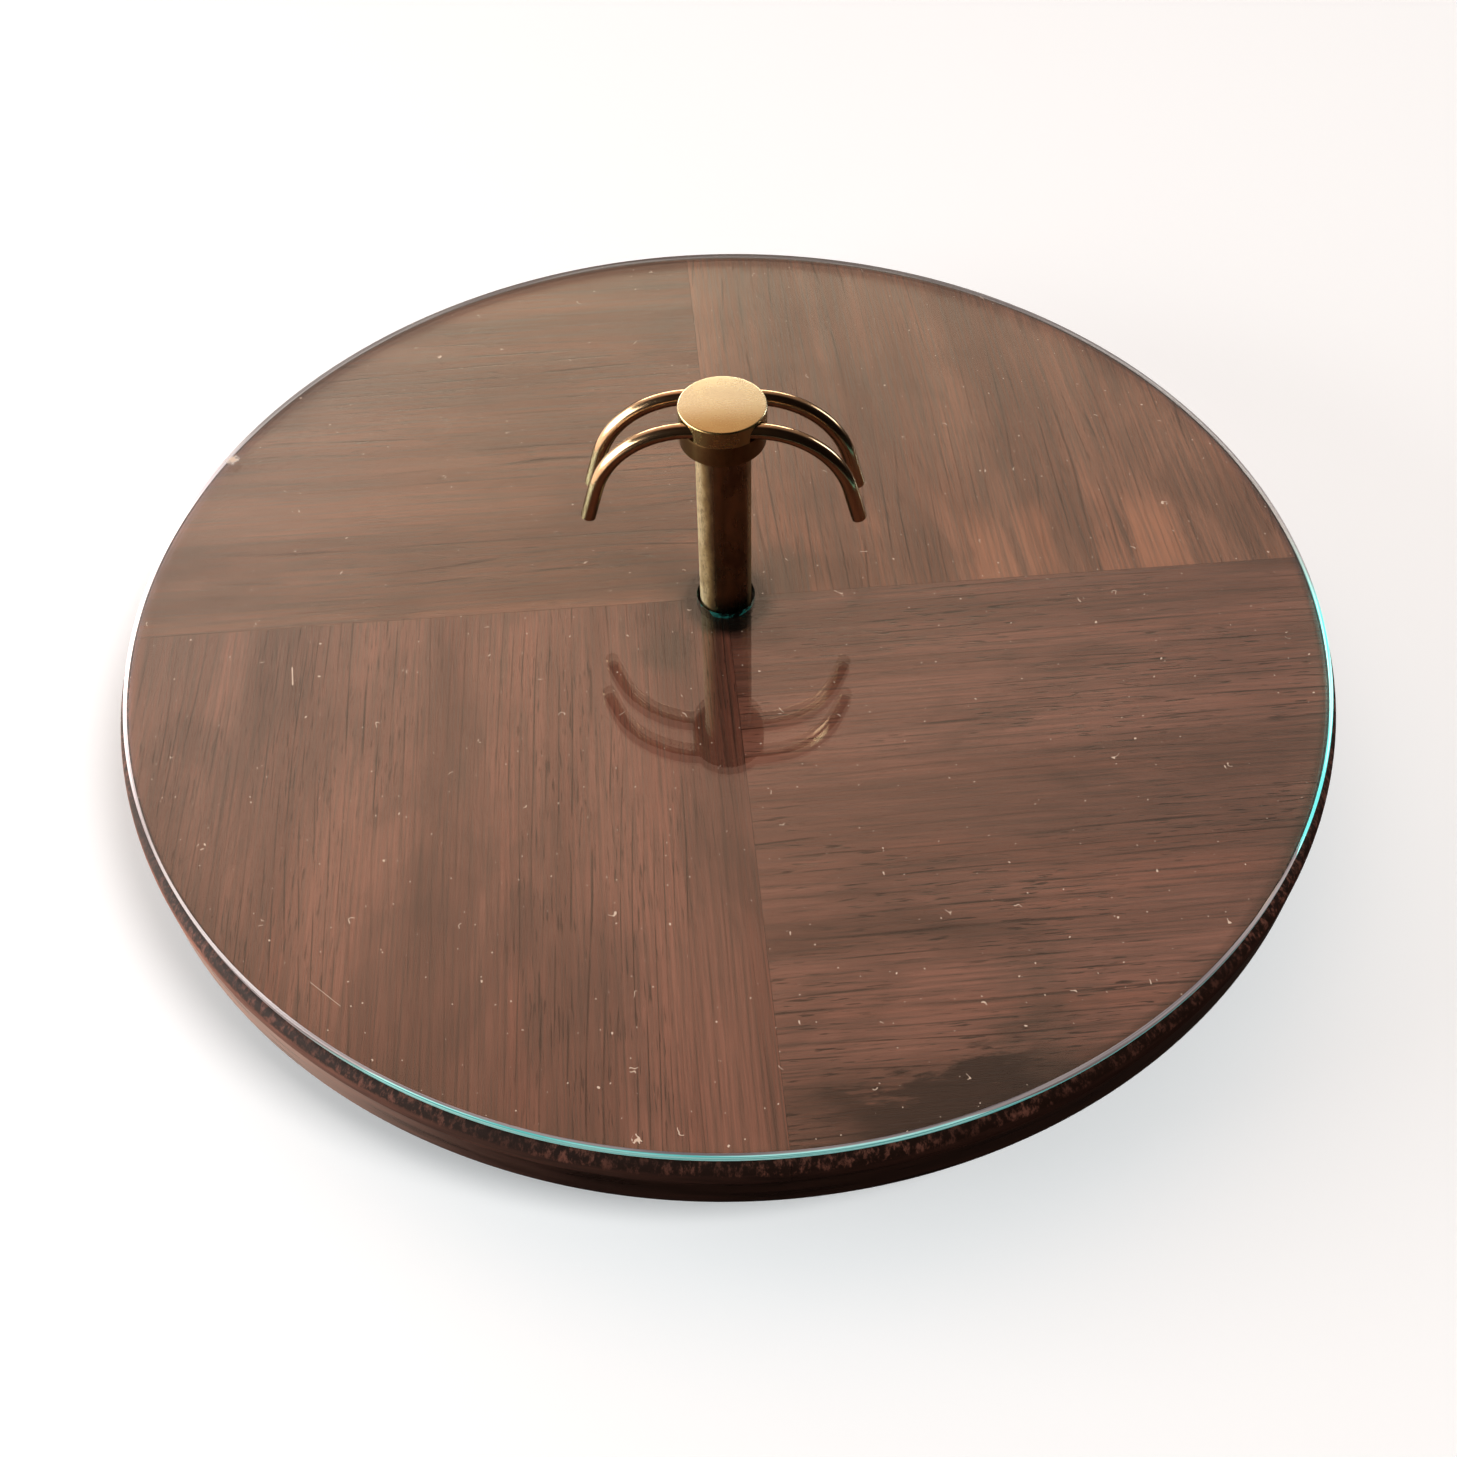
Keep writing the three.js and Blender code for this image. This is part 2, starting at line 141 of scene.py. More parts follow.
def turned(profile, sides):
    """A bmesh made by turning a closed profile of (radius, height) points round the Z axis."""
    mesh = bmesh.new()
    rings = []
    for radius, height in profile:
        count = sides if radius > 0 else 1
        turns = [TAU * side / sides for side in range(count)]
        places = [(radius * math.cos(turn), radius * math.sin(turn), height) for turn in turns]
        rings.append([mesh.verts.new(place) for place in places])
    for lower, upper in zip(rings, rings[1:] + rings[:1]):
        if len(lower) == 1 and len(upper) == 1:
            continue
        for side in range(sides):
            after = (side + 1) % sides
            corners = [lower[side % len(lower)], lower[after % len(lower)]]
            corners += [upper[after % len(upper)], upper[side % len(upper)]]
            mesh.faces.new(list(dict.fromkeys(corners)))
    bmesh.ops.recalc_face_normals(mesh, faces=mesh.faces)
    return mesh


def swept(points, radius, sides, tip):
    """A bmesh of a round rod along points in the XZ plane, its ends softened over a length tip."""
    mesh = bmesh.new()
    rings = []
    count = len(points)
    for index, point in enumerate(points):
        before = points[max(index - 1, 0)]
        after = points[min(index + 1, count - 1)]
        along = (after - before).normalized()
        side = along.cross(Vector((0, 1, 0)))
        at_end = index in (0, count - 1)
        reach = radius - tip if at_end else radius
        ring = []
        for turn in range(sides):
            angle = TAU * turn / sides
            offset = Vector((0, 1, 0)) * math.cos(angle) + side * math.sin(angle)
            ring.append(mesh.verts.new(point + offset * reach))
        rings.append(ring)
    for lower, upper in zip(rings, rings[1:]):
        for turn in range(sides):
            after = (turn + 1) % sides
            mesh.faces.new((lower[turn], lower[after], upper[after], upper[turn]))
    mesh.faces.new(rings[0])
    mesh.faces.new(rings[-1])
    bmesh.ops.recalc_face_normals(mesh, faces=mesh.faces)
    return mesh


def placed(mesh, offset=(0, 0, 0), turn=0.0):
    """The bmesh turned about Z and moved."""
    move = Matrix.Translation(offset) @ Matrix.Rotation(turn, 4, "Z")
    bmesh.ops.transform(mesh, matrix=move, verts=mesh.verts)
    return mesh


def to_object(mesh, name):
    """An object made of the bmesh, which is freed."""
    data = bpy.data.meshes.new(name)
    mesh.to_mesh(data)
    mesh.free()
    made = bpy.data.objects.new(name, data)
    bpy.context.scene.collection.objects.link(made)
    return made


def apply_modifiers(piece):
    """Gives the piece the mesh that its modifiers make."""
    graph = bpy.context.evaluated_depsgraph_get()
    result = bpy.data.meshes.new_from_object(piece.evaluated_get(graph))
    piece.modifiers.clear()
    piece.data = result


def cut_out(piece, tools):
    """Cuts closed bmeshes out of the piece."""
    for mesh in tools:
        tool = to_object(mesh, "cutter")
        modifier = piece.modifiers.new("cut", "BOOLEAN")
        modifier.operation = "DIFFERENCE"
        modifier.solver = "EXACT"
        modifier.object = tool
        apply_modifiers(piece)
        bpy.data.objects.remove(tool)


def soften(piece, width, limit=50):
    """Rounds the piece's edges that turn by more than limit degrees."""
    modifier = piece.modifiers.new("soft_edges", "BEVEL")
    modifier.width = width
    modifier.segments = 2
    modifier.limit_method = "ANGLE"
    modifier.angle_limit = math.radians(limit)
    apply_modifiers(piece)


def shade(piece):
    """Smooth shading, with flats kept flat and sharp edges kept crisp."""
    piece.data.shade_smooth()
    piece.data.set_sharp_from_angle(angle=SHARP_ANGLE)
    modifier = piece.modifiers.new("even_shading", "WEIGHTED_NORMAL")
    modifier.keep_sharp = True


def body_of_node(node):
    """The moving body that a CAD node belongs to."""
    bodies = frame["record"]["behaviour"]["bodies"]
    return next(body for body, members in bodies.items() if node in members)


def stand_for(piece, node, material):
    """Makes the piece the shown form of a CAD node, on that node's body."""
    piece.name = f"{node}_detail"
    if not piece.data.materials:
        piece.data.materials.append(material)
    shade(piece)
    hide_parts(node)
    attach(piece, body_of_node(node))


# ---------------------------------------------------------------- material building

# Depths of the surfaces' relief.
FINE_RELIEF = 0.1 * MM
METAL_RELIEF = 0.05 * MM
BRASS_RELIEF = 0.03 * MM


def tint(code):
    """A hex colour as linear RGBA."""
    channels = [int(code[i : i + 2], 16) / 255 for i in (0, 2, 4)]
    linear = [c / 12.92 if c <= 0.04045 else ((c + 0.055) / 1.055) ** 2.4 for c in channels]
    return (*linear, 1.0)


class Nodes:
    """A node tree, with a short call for each kind of node."""

    def __init__(self, tree):
        self.tree = tree

    def add(self, kind, inputs=None, **settings):
        """A new node of a kind. Each input is linked where it is a socket, and else set."""
        node = self.tree.nodes.new("ShaderNode" + kind)
        for key, value in settings.items():
            setattr(node, key, value)
        for key, value in (inputs or {}).items():
            self.join(node.inputs[key], value)
        return node

    def join(self, socket, value):
        if isinstance(value, bpy.types.NodeSocket):
            self.tree.links.new(value, socket)
        else:
            socket.default_value = value

    def math(self, operation, a, b=0.0, c=0.0):
        return self.add("Math", {0: a, 1: b, 2: c}, operation=operation).outputs[0]

    def times(self, a, b):
        return self.math("MULTIPLY", a, b)

    def larger(self, a, b):
        return self.math("MAXIMUM", a, b)

    def away(self, value, place):
        """How far the value is from a place."""
        return self.math("ABSOLUTE", self.math("SUBTRACT", value, place))

    def zone(self, value, start, end):
        """1 between two pairs of values, over which it rises from 0 and falls back to 0."""
        return self.times(self.step(value, *start), self.step(value, *reversed(end)))

    def step(self, value, low, high, at_low=0.0, at_high=1.0):
        """value as it goes from low to high, smoothly brought to at_low..at_high."""
        inputs = {"Value": value, "From Min": low, "From Max": high}
        inputs |= {"To Min": at_low, "To Max": at_high}
        return self.add("MapRange", inputs, interpolation_type="SMOOTHSTEP").outputs["Result"]

    def mix(self, share, a, b):
        """The colour a where share is 0 and b where it is 1."""
        node = self.add("Mix", data_type="RGBA")
        factor, first, second = node.inputs[0], node.inputs[6], node.inputs[7]
        for socket, value in ((factor, share), (first, a), (second, b)):
            self.join(socket, value)
        return node.outputs[2]

    def split(self, vector):
        """The x, y and z of a vector."""
        return self.add("SeparateXYZ", {0: vector}).outputs[:3]


class Graph(Nodes):
    """The node tree of one material, with object coordinates to work from."""

    def __init__(self, name):
        self.material = bpy.data.materials.new(name)
        self.material.use_nodes = True
        super().__init__(self.material.node_tree)
        self.tree.nodes.clear()
        self.output = self.add("OutputMaterial")
        self.place = self.add("TexCoord").outputs["Object"]

    def plan(self):
        """The x, y and z of the place."""
        return self.split(self.place)

    def mapped(self, scale=(1, 1, 1), turn=0.0, offset=(0, 0, 0)):
        """Object coordinates turned back by an angle about Z, then scaled and offset."""
        inputs = {"Vector": self.place, "Rotation": (0, 0, -turn)}
        turned_back = self.add("Mapping", inputs).outputs[0]
        inputs = {"Vector": turned_back, "Scale": scale, "Location": offset}
        return self.add("Mapping", inputs).outputs[0]

    def noise(self, vector, scale=1.0, detail=3.0, roughness=0.5, distortion=0.0):
        inputs = {"Vector": vector, "Scale": scale, "Detail": detail}
        inputs |= {"Roughness": roughness, "Distortion": distortion}
        return self.add("TexNoise", inputs).outputs["Fac"]

    def radius(self):
        """Distance from the Z axis."""
        x, y, _ = self.plan()
        return self.math("SQRT", self.math("MULTIPLY_ADD", x, x, self.times(y, y)))

    def near(self, x, y, reach, ragged, wobble, core=0.25):
        """1 on the plan round a place, out to the share core of reach, and 0 beyond reach.
        Wobble is a noise that makes the edge ragged."""
        flat = self.add("VectorMath", {0: self.place, 1: (1, 1, 0)}, operation="MULTIPLY").outputs[0]
        away = self.add("VectorMath", {0: flat, 1: (x, y, 0)}, operation="DISTANCE").outputs["Value"]
        shift = self.math("MULTIPLY_ADD", wobble, ragged, -ragged / 2)
        return self.step(self.math("ADD", away, shift), reach, reach * core)

    def bump(self, height, strength, distance):
        inputs = {"Height": height, "Strength": strength, "Distance": distance}
        return self.add("Bump", inputs).outputs[0]

    def principled(self, **inputs):
        """A Principled shader on the output. Spaces in socket names are written as underscores."""
        named = {key.replace("_", " "): value for key, value in inputs.items()}
        shader = self.add("BsdfPrincipled", named)
        self.join(self.output.inputs["Surface"], shader.outputs[0])


# ---------------------------------------------------------------- wood

# One look for each quarter of the top: the direction of its grain in degrees, its dark lines per
# metre across the grain, its colours, and how strong its broad bands, dark clouds, warm streaks,
# dark lines (veins) and open pores are. Warm streaks fade out at warm_reach metres along the grain.
# Patches are orange patches: the middle along and across the grain, length, width and share.
QUARTERS = {
    "quarter_board_1": {
        "grain": 90, "seed": 3.1, "lines": 170,
        "light": "a0624e", "dark": "62372a", "cloud": "593428", "warm": "ac6047",
        "bands": 0.68, "clouds": 0.45, "warmth": 0.5, "warm_reach": 0.11, "veins": 0.6, "pores": 0.3,
        "patches": (
            (0.015, -0.1589, 0.062, 0.022, 0.65), (0.012, -0.098, 0.056, 0.016, 0.5),
            (0.016, -0.1155, 0.056, 0.016, 0.55),
        ),
    },
    "quarter_board_2": {
        "grain": 0, "seed": 11.7, "lines": 150,
        "light": "8a503e", "dark": "532c21", "cloud": "482a21", "warm": "92503b",
        "bands": 0.58, "clouds": 0.4, "warmth": 0.25, "warm_reach": 0.5, "veins": 0.8, "pores": 0.7,
    },
    "quarter_board_3": {
        "grain": 90, "seed": 23.9, "lines": 260,
        "light": "905346", "dark": "522b22", "cloud": "432823", "warm": "9a5142",
        "bands": 0.6, "clouds": 0.5, "warmth": 0.35, "warm_reach": 0.5, "veins": 0.85, "pores": 0.6,
    },
    "quarter_board_4": {
        "grain": 0, "seed": 37.3, "lines": 190,
        "light": "91574b", "dark": "5c342a", "cloud": "442821", "warm": "9a503c",
        "bands": 0.7, "clouds": 0.5, "warmth": 0.25, "warm_reach": 0.5, "veins": 0.85, "pores": 0.8,
    },
}

FIBRE_COLOUR = "1c0c08"
LINE_COLOUR = "100604"
PORE_COLOUR = "0c0503"


def grain_lines(g, across, warp, per_metre):
    """Thin wavy dark lines along the grain."""
    phase = g.math("MULTIPLY_ADD", across, per_metre, g.times(warp, 7.0))
    return g.step(g.math("PINGPONG", phase, 0.5), 0.0, 0.09, 1.0, 0.0)


def grain_colour(g, turn, look):
    """Wood colour with broad bands, clouds, warm streaks, fibres, lines and open pores along the
    grain. Also gives the fibres, the lines and pores, and how dull the lacquer is."""
    seed = look["seed"]
    shift = (seed, seed * 1.7, seed * 0.3)
    along, across, _ = g.split(g.mapped(turn=turn))
    band = g.noise(g.mapped((3, 42, 12), turn, shift), detail=4, roughness=0.55, distortion=0.2)
    cloud = g.noise(g.mapped((13, 26, 12), turn, shift), detail=4, roughness=0.6, distortion=0.4)
    warm = g.noise(g.mapped((7, 60, 20), turn, (seed * 2, seed, 0)), detail=3, roughness=0.5)
    fibre = g.noise(g.mapped((22, 900, 300), turn, shift), detail=3, roughness=0.7)
    gap = g.noise(g.mapped((30, 260, 60), turn, shift), detail=2)
    patch = g.noise(g.mapped((12, 26, 10), turn, (seed, 0, seed)), detail=2)
    warp = g.noise(g.mapped((2.5, 22, 9), turn, shift), detail=2.5, roughness=0.5)
    pore = g.noise(g.mapped((120, 1500, 900), turn, shift), detail=1.5, roughness=0.5)
    in_band = g.step(band, 0.36, 0.64)
    colour = g.mix(g.times(in_band, look["bands"]), tint(look["light"]), tint(look["dark"]))
    reach = look["warm_reach"]
    glow = g.times(g.step(warm, 0.5, 0.7), g.step(along, reach, reach / 3))
    colour = g.mix(g.times(glow, look["warmth"]), colour, tint(look["warm"]))
    in_cloud = g.step(cloud, 0.46, 0.68)
    colour = g.mix(g.times(in_cloud, look["clouds"]), colour, tint(look["cloud"]))
    colour = g.mix(g.step(fibre, 0.35, 0.72, 0.0, 0.6), colour, tint(FIBRE_COLOUR))
    unbroken = g.times(g.step(gap, 0.4, 0.56), g.step(patch, 0.4, 0.6, 0.4, 1.0))
    line = g.times(grain_lines(g, across, warp, look["lines"]), unbroken)
    colour = g.mix(g.times(line, look["veins"]), colour, tint(LINE_COLOUR))
    deep = g.times(g.step(pore, 0.62, 0.68), g.step(patch, 0.4, 0.58, 0.15, 1.0))
    colour = g.mix(g.times(deep, look["pores"]), colour, tint(PORE_COLOUR))
    dull = g.math("MULTIPLY_ADD", in_band, 0.3, g.times(in_cloud, 0.3))
    return colour, fibre, g.larger(line, deep), dull


def long_patch(g, turn, wobble, along, across, length, width):
    """1 on a patch that runs with the grain, given its middle along and across the grain."""
    ahead, aside, _ = g.split(g.mapped(turn=turn))
    off_line = g.away(g.math("MULTIPLY_ADD", wobble, 0.006, aside), across + 0.003)
    inside = g.step(off_line, width / 2, width / 3)
    return g.times(inside, g.step(g.away(ahead, along), length / 2, length / 8))


# Where the dark patch at the rim starts and ends, as angles from +X, and its reach.
RIM_PATCH_START = (-1.43, -1.28)
RIM_PATCH_END = (-1.1, -1.0)
RIM_PATCH_REACH = (0.213, 0.22)


def rim_blotch(g, ragged):
    """1 on the dark patch that hugs the rim at the front."""
    x, y, _ = g.plan()
    angle = g.math("MULTIPLY_ADD", ragged, 0.16, g.math("ARCTAN2", y, x))
    zone = g.zone(angle, RIM_PATCH_START, RIM_PATCH_END)
    reach = g.math("MULTIPLY_ADD", ragged, 0.05, g.radius())
    return g.times(zone, g.step(reach, *RIM_PATCH_REACH))


# Dark patches on the boards: where they are on the plan, and their reach.
POST_PATCHES = ((-0.0187, -0.0246, 0.015), (0.02, 0.011, 0.02), (-0.014, 0.001, 0.014))
POST_RING = (0.0, -0.001, 0.0198)
RIM_HALO = (0.086, -0.168, 0.024)
POST_PATCH_COLOUR = "16140f"
POST_RING_COLOUR = "050706"
RIM_HALO_COLOUR = "2a211b"
RIM_PATCH_COLOUR = "150a08"
ORANGE_COLOUR = "c07459"


def board_wood(name, look):
    """Lacquered rosewood of one quarter, darker round the post and in patches near the front of the
    rim.
    """
    g = Graph(name)
    turn = math.radians(look["grain"]) + BOARD_TURN
    colour, fibre, deep, dull = grain_colour(g, turn, look)
    wobble = g.noise(g.mapped((45, 45, 45)), detail=3)
    for mark in POST_PATCHES:
        post_patch = g.near(*mark, 0.02, wobble)
        colour = g.mix(g.times(post_patch, 0.5), colour, tint(POST_PATCH_COLOUR))
    post_ring = g.near(*POST_RING, 0.009, wobble, core=0.7)
    colour = g.mix(g.times(post_ring, 0.95), colour, tint(POST_RING_COLOUR))
    dull = g.larger(dull, g.times(post_ring, 0.92))
    ragged = g.noise(g.mapped((50, 190, 60), BOARD_TURN), detail=4, roughness=0.65)
    halo = g.near(*RIM_HALO, 0.05, wobble)
    colour = g.mix(g.times(halo, 0.45), colour, tint(RIM_HALO_COLOUR))
    blotch = rim_blotch(g, ragged)
    colour = g.mix(g.times(blotch, 0.9), colour, tint(RIM_PATCH_COLOUR))
    dull = g.larger(dull, blotch)
    streaky = g.step(fibre, 0.4, 0.6, 1.0, 0.55)
    for *place, share in look.get("patches", ()):
        patch = g.times(long_patch(g, turn, wobble, *place), streaky)
        colour = g.mix(g.times(patch, share), colour, tint(ORANGE_COLOUR))
    height = g.math("SUBTRACT", g.times(fibre, 0.4), deep)
    lacquer = g.math("SUBTRACT", g.math("MULTIPLY_ADD", deep, -0.6, 1.0), dull)
    g.principled(
        Base_Color=colour, Roughness=g.step(fibre, 0.3, 0.7, 0.18, 0.34), Specular_IOR_Level=0.2,
        Coat_Weight=lacquer, Coat_Roughness=0.03, Normal=g.bump(height, 0.35, FINE_RELIEF),
    )
    return g.material


def around(g, along, across, upward):
    """Coordinates that run round the rim, outwards and upwards, scaled."""
    x, y, z = g.plan()
    angle = g.math("ARCTAN2", y, x)
    inputs = {
        0: g.times(angle, along),
        1: g.times(g.radius(), across),
        2: g.times(z, upward),
    }
    return g.add("CombineXYZ", inputs).outputs[0]


def band_colour(g):
    """Brown wood whose grain runs round the rim, painted lighter on the left and back as painted
    light and darker in front and to the right as painted shade, and its fine fibres.
    """
    streak = g.noise(around(g, 5, 300, 260), detail=4, roughness=0.6, distortion=0.2)
    fibre = g.noise(around(g, 20, 1400, 1400), detail=2)
    x, y, _ = g.plan()
    # Painted light and shade: lighter colour on the back and left, darker colour in front and to the
    # right, where the shade falls.
    shaded_side = g.step(g.math("MULTIPLY_ADD", x, 0.65, g.times(y, -0.76)), 0.0, 0.15)
    light = g.mix(shaded_side, tint("9b6655"), tint("38211a"))
    dark = g.mix(shaded_side, tint("643a2d"), tint("20120e"))
    colour = g.mix(g.step(streak, 0.3, 0.7), dark, light)
    return g.mix(g.step(fibre, 0.4, 0.75, 0.0, 0.35), colour, tint("22120d")), streak, fibre


FLECK_DEPTHS = (2.2 * MM, 1.2 * MM)  # between these depths the flecked edge begins


def board_edge():
    """The boards' rounded edge: dark and ragged with small reddish flecks for its upper third, and
    like the band below that."""
    g = Graph("board_edge")
    fleck = g.noise(around(g, 90, 260, 200), detail=4, roughness=0.75)
    broad = g.noise(around(g, 6, 10, 10), detail=2)
    _, _, z = g.plan()
    top = node_heights("quarter_board_1")[1]
    share = g.times(g.step(fleck, 0.46, 0.66), g.step(broad, 0.3, 0.6, 0.3, 0.9))
    upper = g.mix(share, tint("20120d"), tint("70463a"))
    ragged = g.math("MULTIPLY_ADD", fleck, 3 * MM, z)
    colour, _, fibre = band_colour(g)
    starts, full = (top - depth for depth in FLECK_DEPTHS)
    colour = g.mix(g.step(ragged, starts, full), colour, upper)
    g.principled(
        Base_Color=colour, Roughness=0.6, Specular_IOR_Level=0.12,
        Normal=g.bump(fibre, 0.25, FINE_RELIEF),
    )
    return g.material


def rim_wood():
    """Bent band whose grain runs round the rim."""
    g = Graph("rim_wood")
    colour, streak, fibre = band_colour(g)
    g.principled(
        Base_Color=colour, Roughness=g.step(streak, 0.3, 0.7, 0.26, 0.36), Coat_Weight=0.15,
        Coat_Roughness=0.25, Normal=g.bump(fibre, 0.25, FINE_RELIEF),
    )
    return g.material


def straight_wood(name, light, dark, roughness, coat):
    """Plain straight-grained wood along X."""
    g = Graph(name)
    streak = g.noise(g.mapped((5, 140, 140)), detail=4, roughness=0.6, distortion=0.3)
    fibre = g.noise(g.mapped((30, 1200, 1200)), detail=2)
    colour = g.mix(g.step(streak, 0.3, 0.7), tint(dark), tint(light))
    colour = g.mix(g.step(fibre, 0.45, 0.75, 0.0, 0.45), colour, tint("1c0e09"))
    g.principled(
        Base_Color=colour, Roughness=g.step(streak, 0.3, 0.7, roughness, roughness + 0.12),
        Coat_Weight=coat, Coat_Roughness=0.2, Normal=g.bump(fibre, 0.3, FINE_RELIEF),
    )
    return g.material


def plywood():
    """Birch plywood: a plain face, and layers along its edge."""
    g = Graph("plywood")
    _, _, z = g.plan()
    face = g.noise(g.mapped((6, 90, 600)), detail=4)
    layer = g.math("SINE", g.times(z, TAU / PLY_PAIR))
    colour = g.mix(g.step(face, 0.3, 0.7), tint("a37c50"), tint("c29b6b"))
    colour = g.mix(g.step(layer, -0.2, 0.2, 0.0, 0.35), colour, tint("7c5836"))
    g.principled(
        Base_Color=colour, Roughness=g.step(face, 0.3, 0.7, 0.6, 0.75),
        Normal=g.bump(face, 0.3, FINE_RELIEF),
    )
    return g.material


# ---------------------------------------------------------------- metal, glass, plastic


def brass(name, light, dark, tarnish, gloss, mottle, front=None):
    """Aged brass: satin, cloudy with tarnish, with fine marks from years of wiping. Front is a darker
    colour painted towards the user, as painted shade."""
    g = Graph(name)
    cloud = g.noise(g.mapped((120, 120, 40)), detail=4, roughness=0.6)
    speck = g.noise(g.mapped((900, 900, 500)), detail=3, roughness=0.7)
    wiped = g.noise(g.mapped((500, 2500, 2500)), detail=2)
    colour = g.mix(g.step(cloud, 0.35, 0.7), tint(light), tint(dark))
    # Painted shade: the colour darkens towards the front.
    if front:
        _, y, _ = g.plan()
        colour = g.mix(g.step(y, 0.002, -0.011), colour, tint(front))
    colour = g.mix(g.step(speck, 0.55, 0.75, 0.0, mottle), colour, tint(tarnish))
    clouded = g.step(cloud, 0.3, 0.7, gloss, gloss + 0.07)
    g.principled(
        Base_Color=colour, Metallic=1.0, Normal=g.bump(speck, 0.05, BRASS_RELIEF),
        Roughness=g.math("ADD", clouded, g.step(wiped, 0.4, 0.7, 0.0, 0.03)),
    )
    return g.material


def stem_brass():
    """Dark smooth brass with a cream, speckled band of colour down its left side that paints the
    light falling on that side, and a thin one on the right that paints a highlight.
    """
    g = Graph("stem_brass")
    cloud = g.noise(g.mapped((110, 110, 45)), detail=4, roughness=0.6)
    speck = g.noise(g.mapped((700, 700, 450)), detail=3, roughness=0.7)
    x, _, _ = g.plan()
    edge = g.math("MULTIPLY_ADD", g.math("SUBTRACT", cloud, 0.5), 0.006, x)
    # Painted light: the cream band on the left stands for light on that side, and the thin band on
    # the right is a painted highlight.
    sides = g.larger(g.step(edge, -0.003, -0.0068), g.step(x, 0.0072, 0.0085, 0.0, 0.5))
    painted_lit_side = g.times(sides, g.step(speck, 0.36, 0.52, 0.5, 1.0))
    bare = g.mix(g.step(cloud, 0.35, 0.7), tint("90795c"), tint("685542"))
    dull = g.mix(g.step(edge, -0.0086, -0.0052), tint("fde9ba"), tint("a98850"))
    dull = g.mix(g.step(cloud, 0.4, 0.7, 0.0, 0.5), dull, tint("94754a"))
    colour = g.mix(g.step(speck, 0.55, 0.75, 0.0, 0.5), g.mix(painted_lit_side, bare, dull), tint("4a351f"))
    g.principled(
        Base_Color=colour, Metallic=g.math("MULTIPLY_ADD", painted_lit_side, -0.7, 1.0),
        Roughness=g.math("MULTIPLY_ADD", painted_lit_side, 0.2, g.step(cloud, 0.3, 0.7, 0.22, 0.3)),
        Normal=g.bump(speck, 0.06, BRASS_RELIEF),
    )
    return g.material


def metal(name, light, dark, gloss):
    """Plain machined or plated metal with fine marks."""
    g = Graph(name)
    mark = g.noise(g.mapped((800, 800, 800)), detail=3, roughness=0.6)
    colour = g.mix(g.step(mark, 0.35, 0.7), tint(light), tint(dark))
    g.principled(
        Base_Color=colour, Metallic=1.0, Roughness=g.step(mark, 0.3, 0.7, gloss, gloss + 0.12),
        Normal=g.bump(mark, 0.1, METAL_RELIEF),
    )
    return g.material


def matt(name, light, dark, roughness, scale):
    """Plain rubber or nylon with a fine moulded texture."""
    g = Graph(name)
    speck = g.noise(g.mapped((scale, scale, scale)), detail=3)
    colour = g.mix(g.step(speck, 0.35, 0.7), tint(light), tint(dark))
    g.principled(Base_Color=colour, Roughness=roughness, Normal=g.bump(speck, 0.2, FINE_RELIEF))
    return g.material


def passes_through(g):
    """1 for rays that should go straight through glass: shadows and light from matt surfaces."""
    path = g.add("LightPath").outputs
    blurred = g.math("SUBTRACT", path["Is Glossy Ray"], path["Is Singular Ray"])
    soft = g.larger(path["Is Diffuse Ray"], blurred)
    return g.larger(path["Is Shadow Ray"], soft)


def lying_on_top(g):
    """Object coordinates flattened to the plan, and 1 on the plate's upper face only."""
    flat = g.add("VectorMath", {0: g.place, 1: (1, 1, 0)}, operation="MULTIPLY").outputs[0]
    _, _, z = g.plan()
    return flat, g.math("GREATER_THAN", z, node_heights("glass_plate")[1] - GLASS_ARRIS / 2)


def scattered(g, flat, per_metre):
    """Metres to the nearest of scattered points on the plan, and two random numbers for it."""
    cells = g.add("TexVoronoi", {"Vector": flat, "Scale": per_metre}, voronoi_dimensions="2D")
    away = g.math("DIVIDE", cells.outputs["Distance"], per_metre)
    random_a, random_b, _ = g.split(cells.outputs["Color"])
    return away, random_a, random_b


def crumpled(g, flat, amount):
    """The plan's coordinates shaken by up to about half of amount metres, which makes dots ragged."""
    shake = g.add("TexNoise", {"Vector": flat, "Scale": 1300.0, "Detail": 1.0}).outputs["Color"]
    inputs = {0: shake, 1: (amount, amount, 0), 2: flat}
    return g.add("VectorMath", inputs, operation="MULTIPLY_ADD").outputs[0]


def specks(g, flat, per_metre, biggest, rarity):
    """1 on ragged dots up to biggest in radius. Rarity is the share of places without one."""
    away, chance, size = scattered(g, crumpled(g, flat, 3.2 * biggest), per_metre)
    dot = g.math("LESS_THAN", away, g.times(size, biggest))
    return g.times(dot, g.math("GREATER_THAN", chance, rarity))


def fibres(g, flat):
    """Short thin curled threads: pieces of a noise's contour line near scattered points."""
    contour = g.math("COMPARE", g.noise(flat, 260, 1), 0.5, 0.014)
    away, chance, size = scattered(g, flat, 40)
    close = g.math("LESS_THAN", away, g.math("MULTIPLY_ADD", size, 1.3 * MM, 0.3 * MM))
    return g.times(contour, g.times(close, g.math("GREATER_THAN", chance, 0.35)))


def scratch(g, start, end, width):
    """1 on a straight mark between two places on the plan."""
    x, y, _ = g.plan()
    run = Vector(end) - Vector(start)
    middle = (Vector(end) + Vector(start)) / 2
    along = run.normalized()
    right = g.math("SUBTRACT", x, middle.x)
    ahead = g.math("SUBTRACT", y, middle.y)
    down = g.math("MULTIPLY_ADD", right, along.x, g.times(ahead, along.y))
    over = g.math("MULTIPLY_ADD", ahead, along.x, g.times(right, -along.y))
    inside = g.math("COMPARE", down, 0.0, run.length / 2)
    return g.times(inside, g.math("COMPARE", over, 0.0, width / 2))


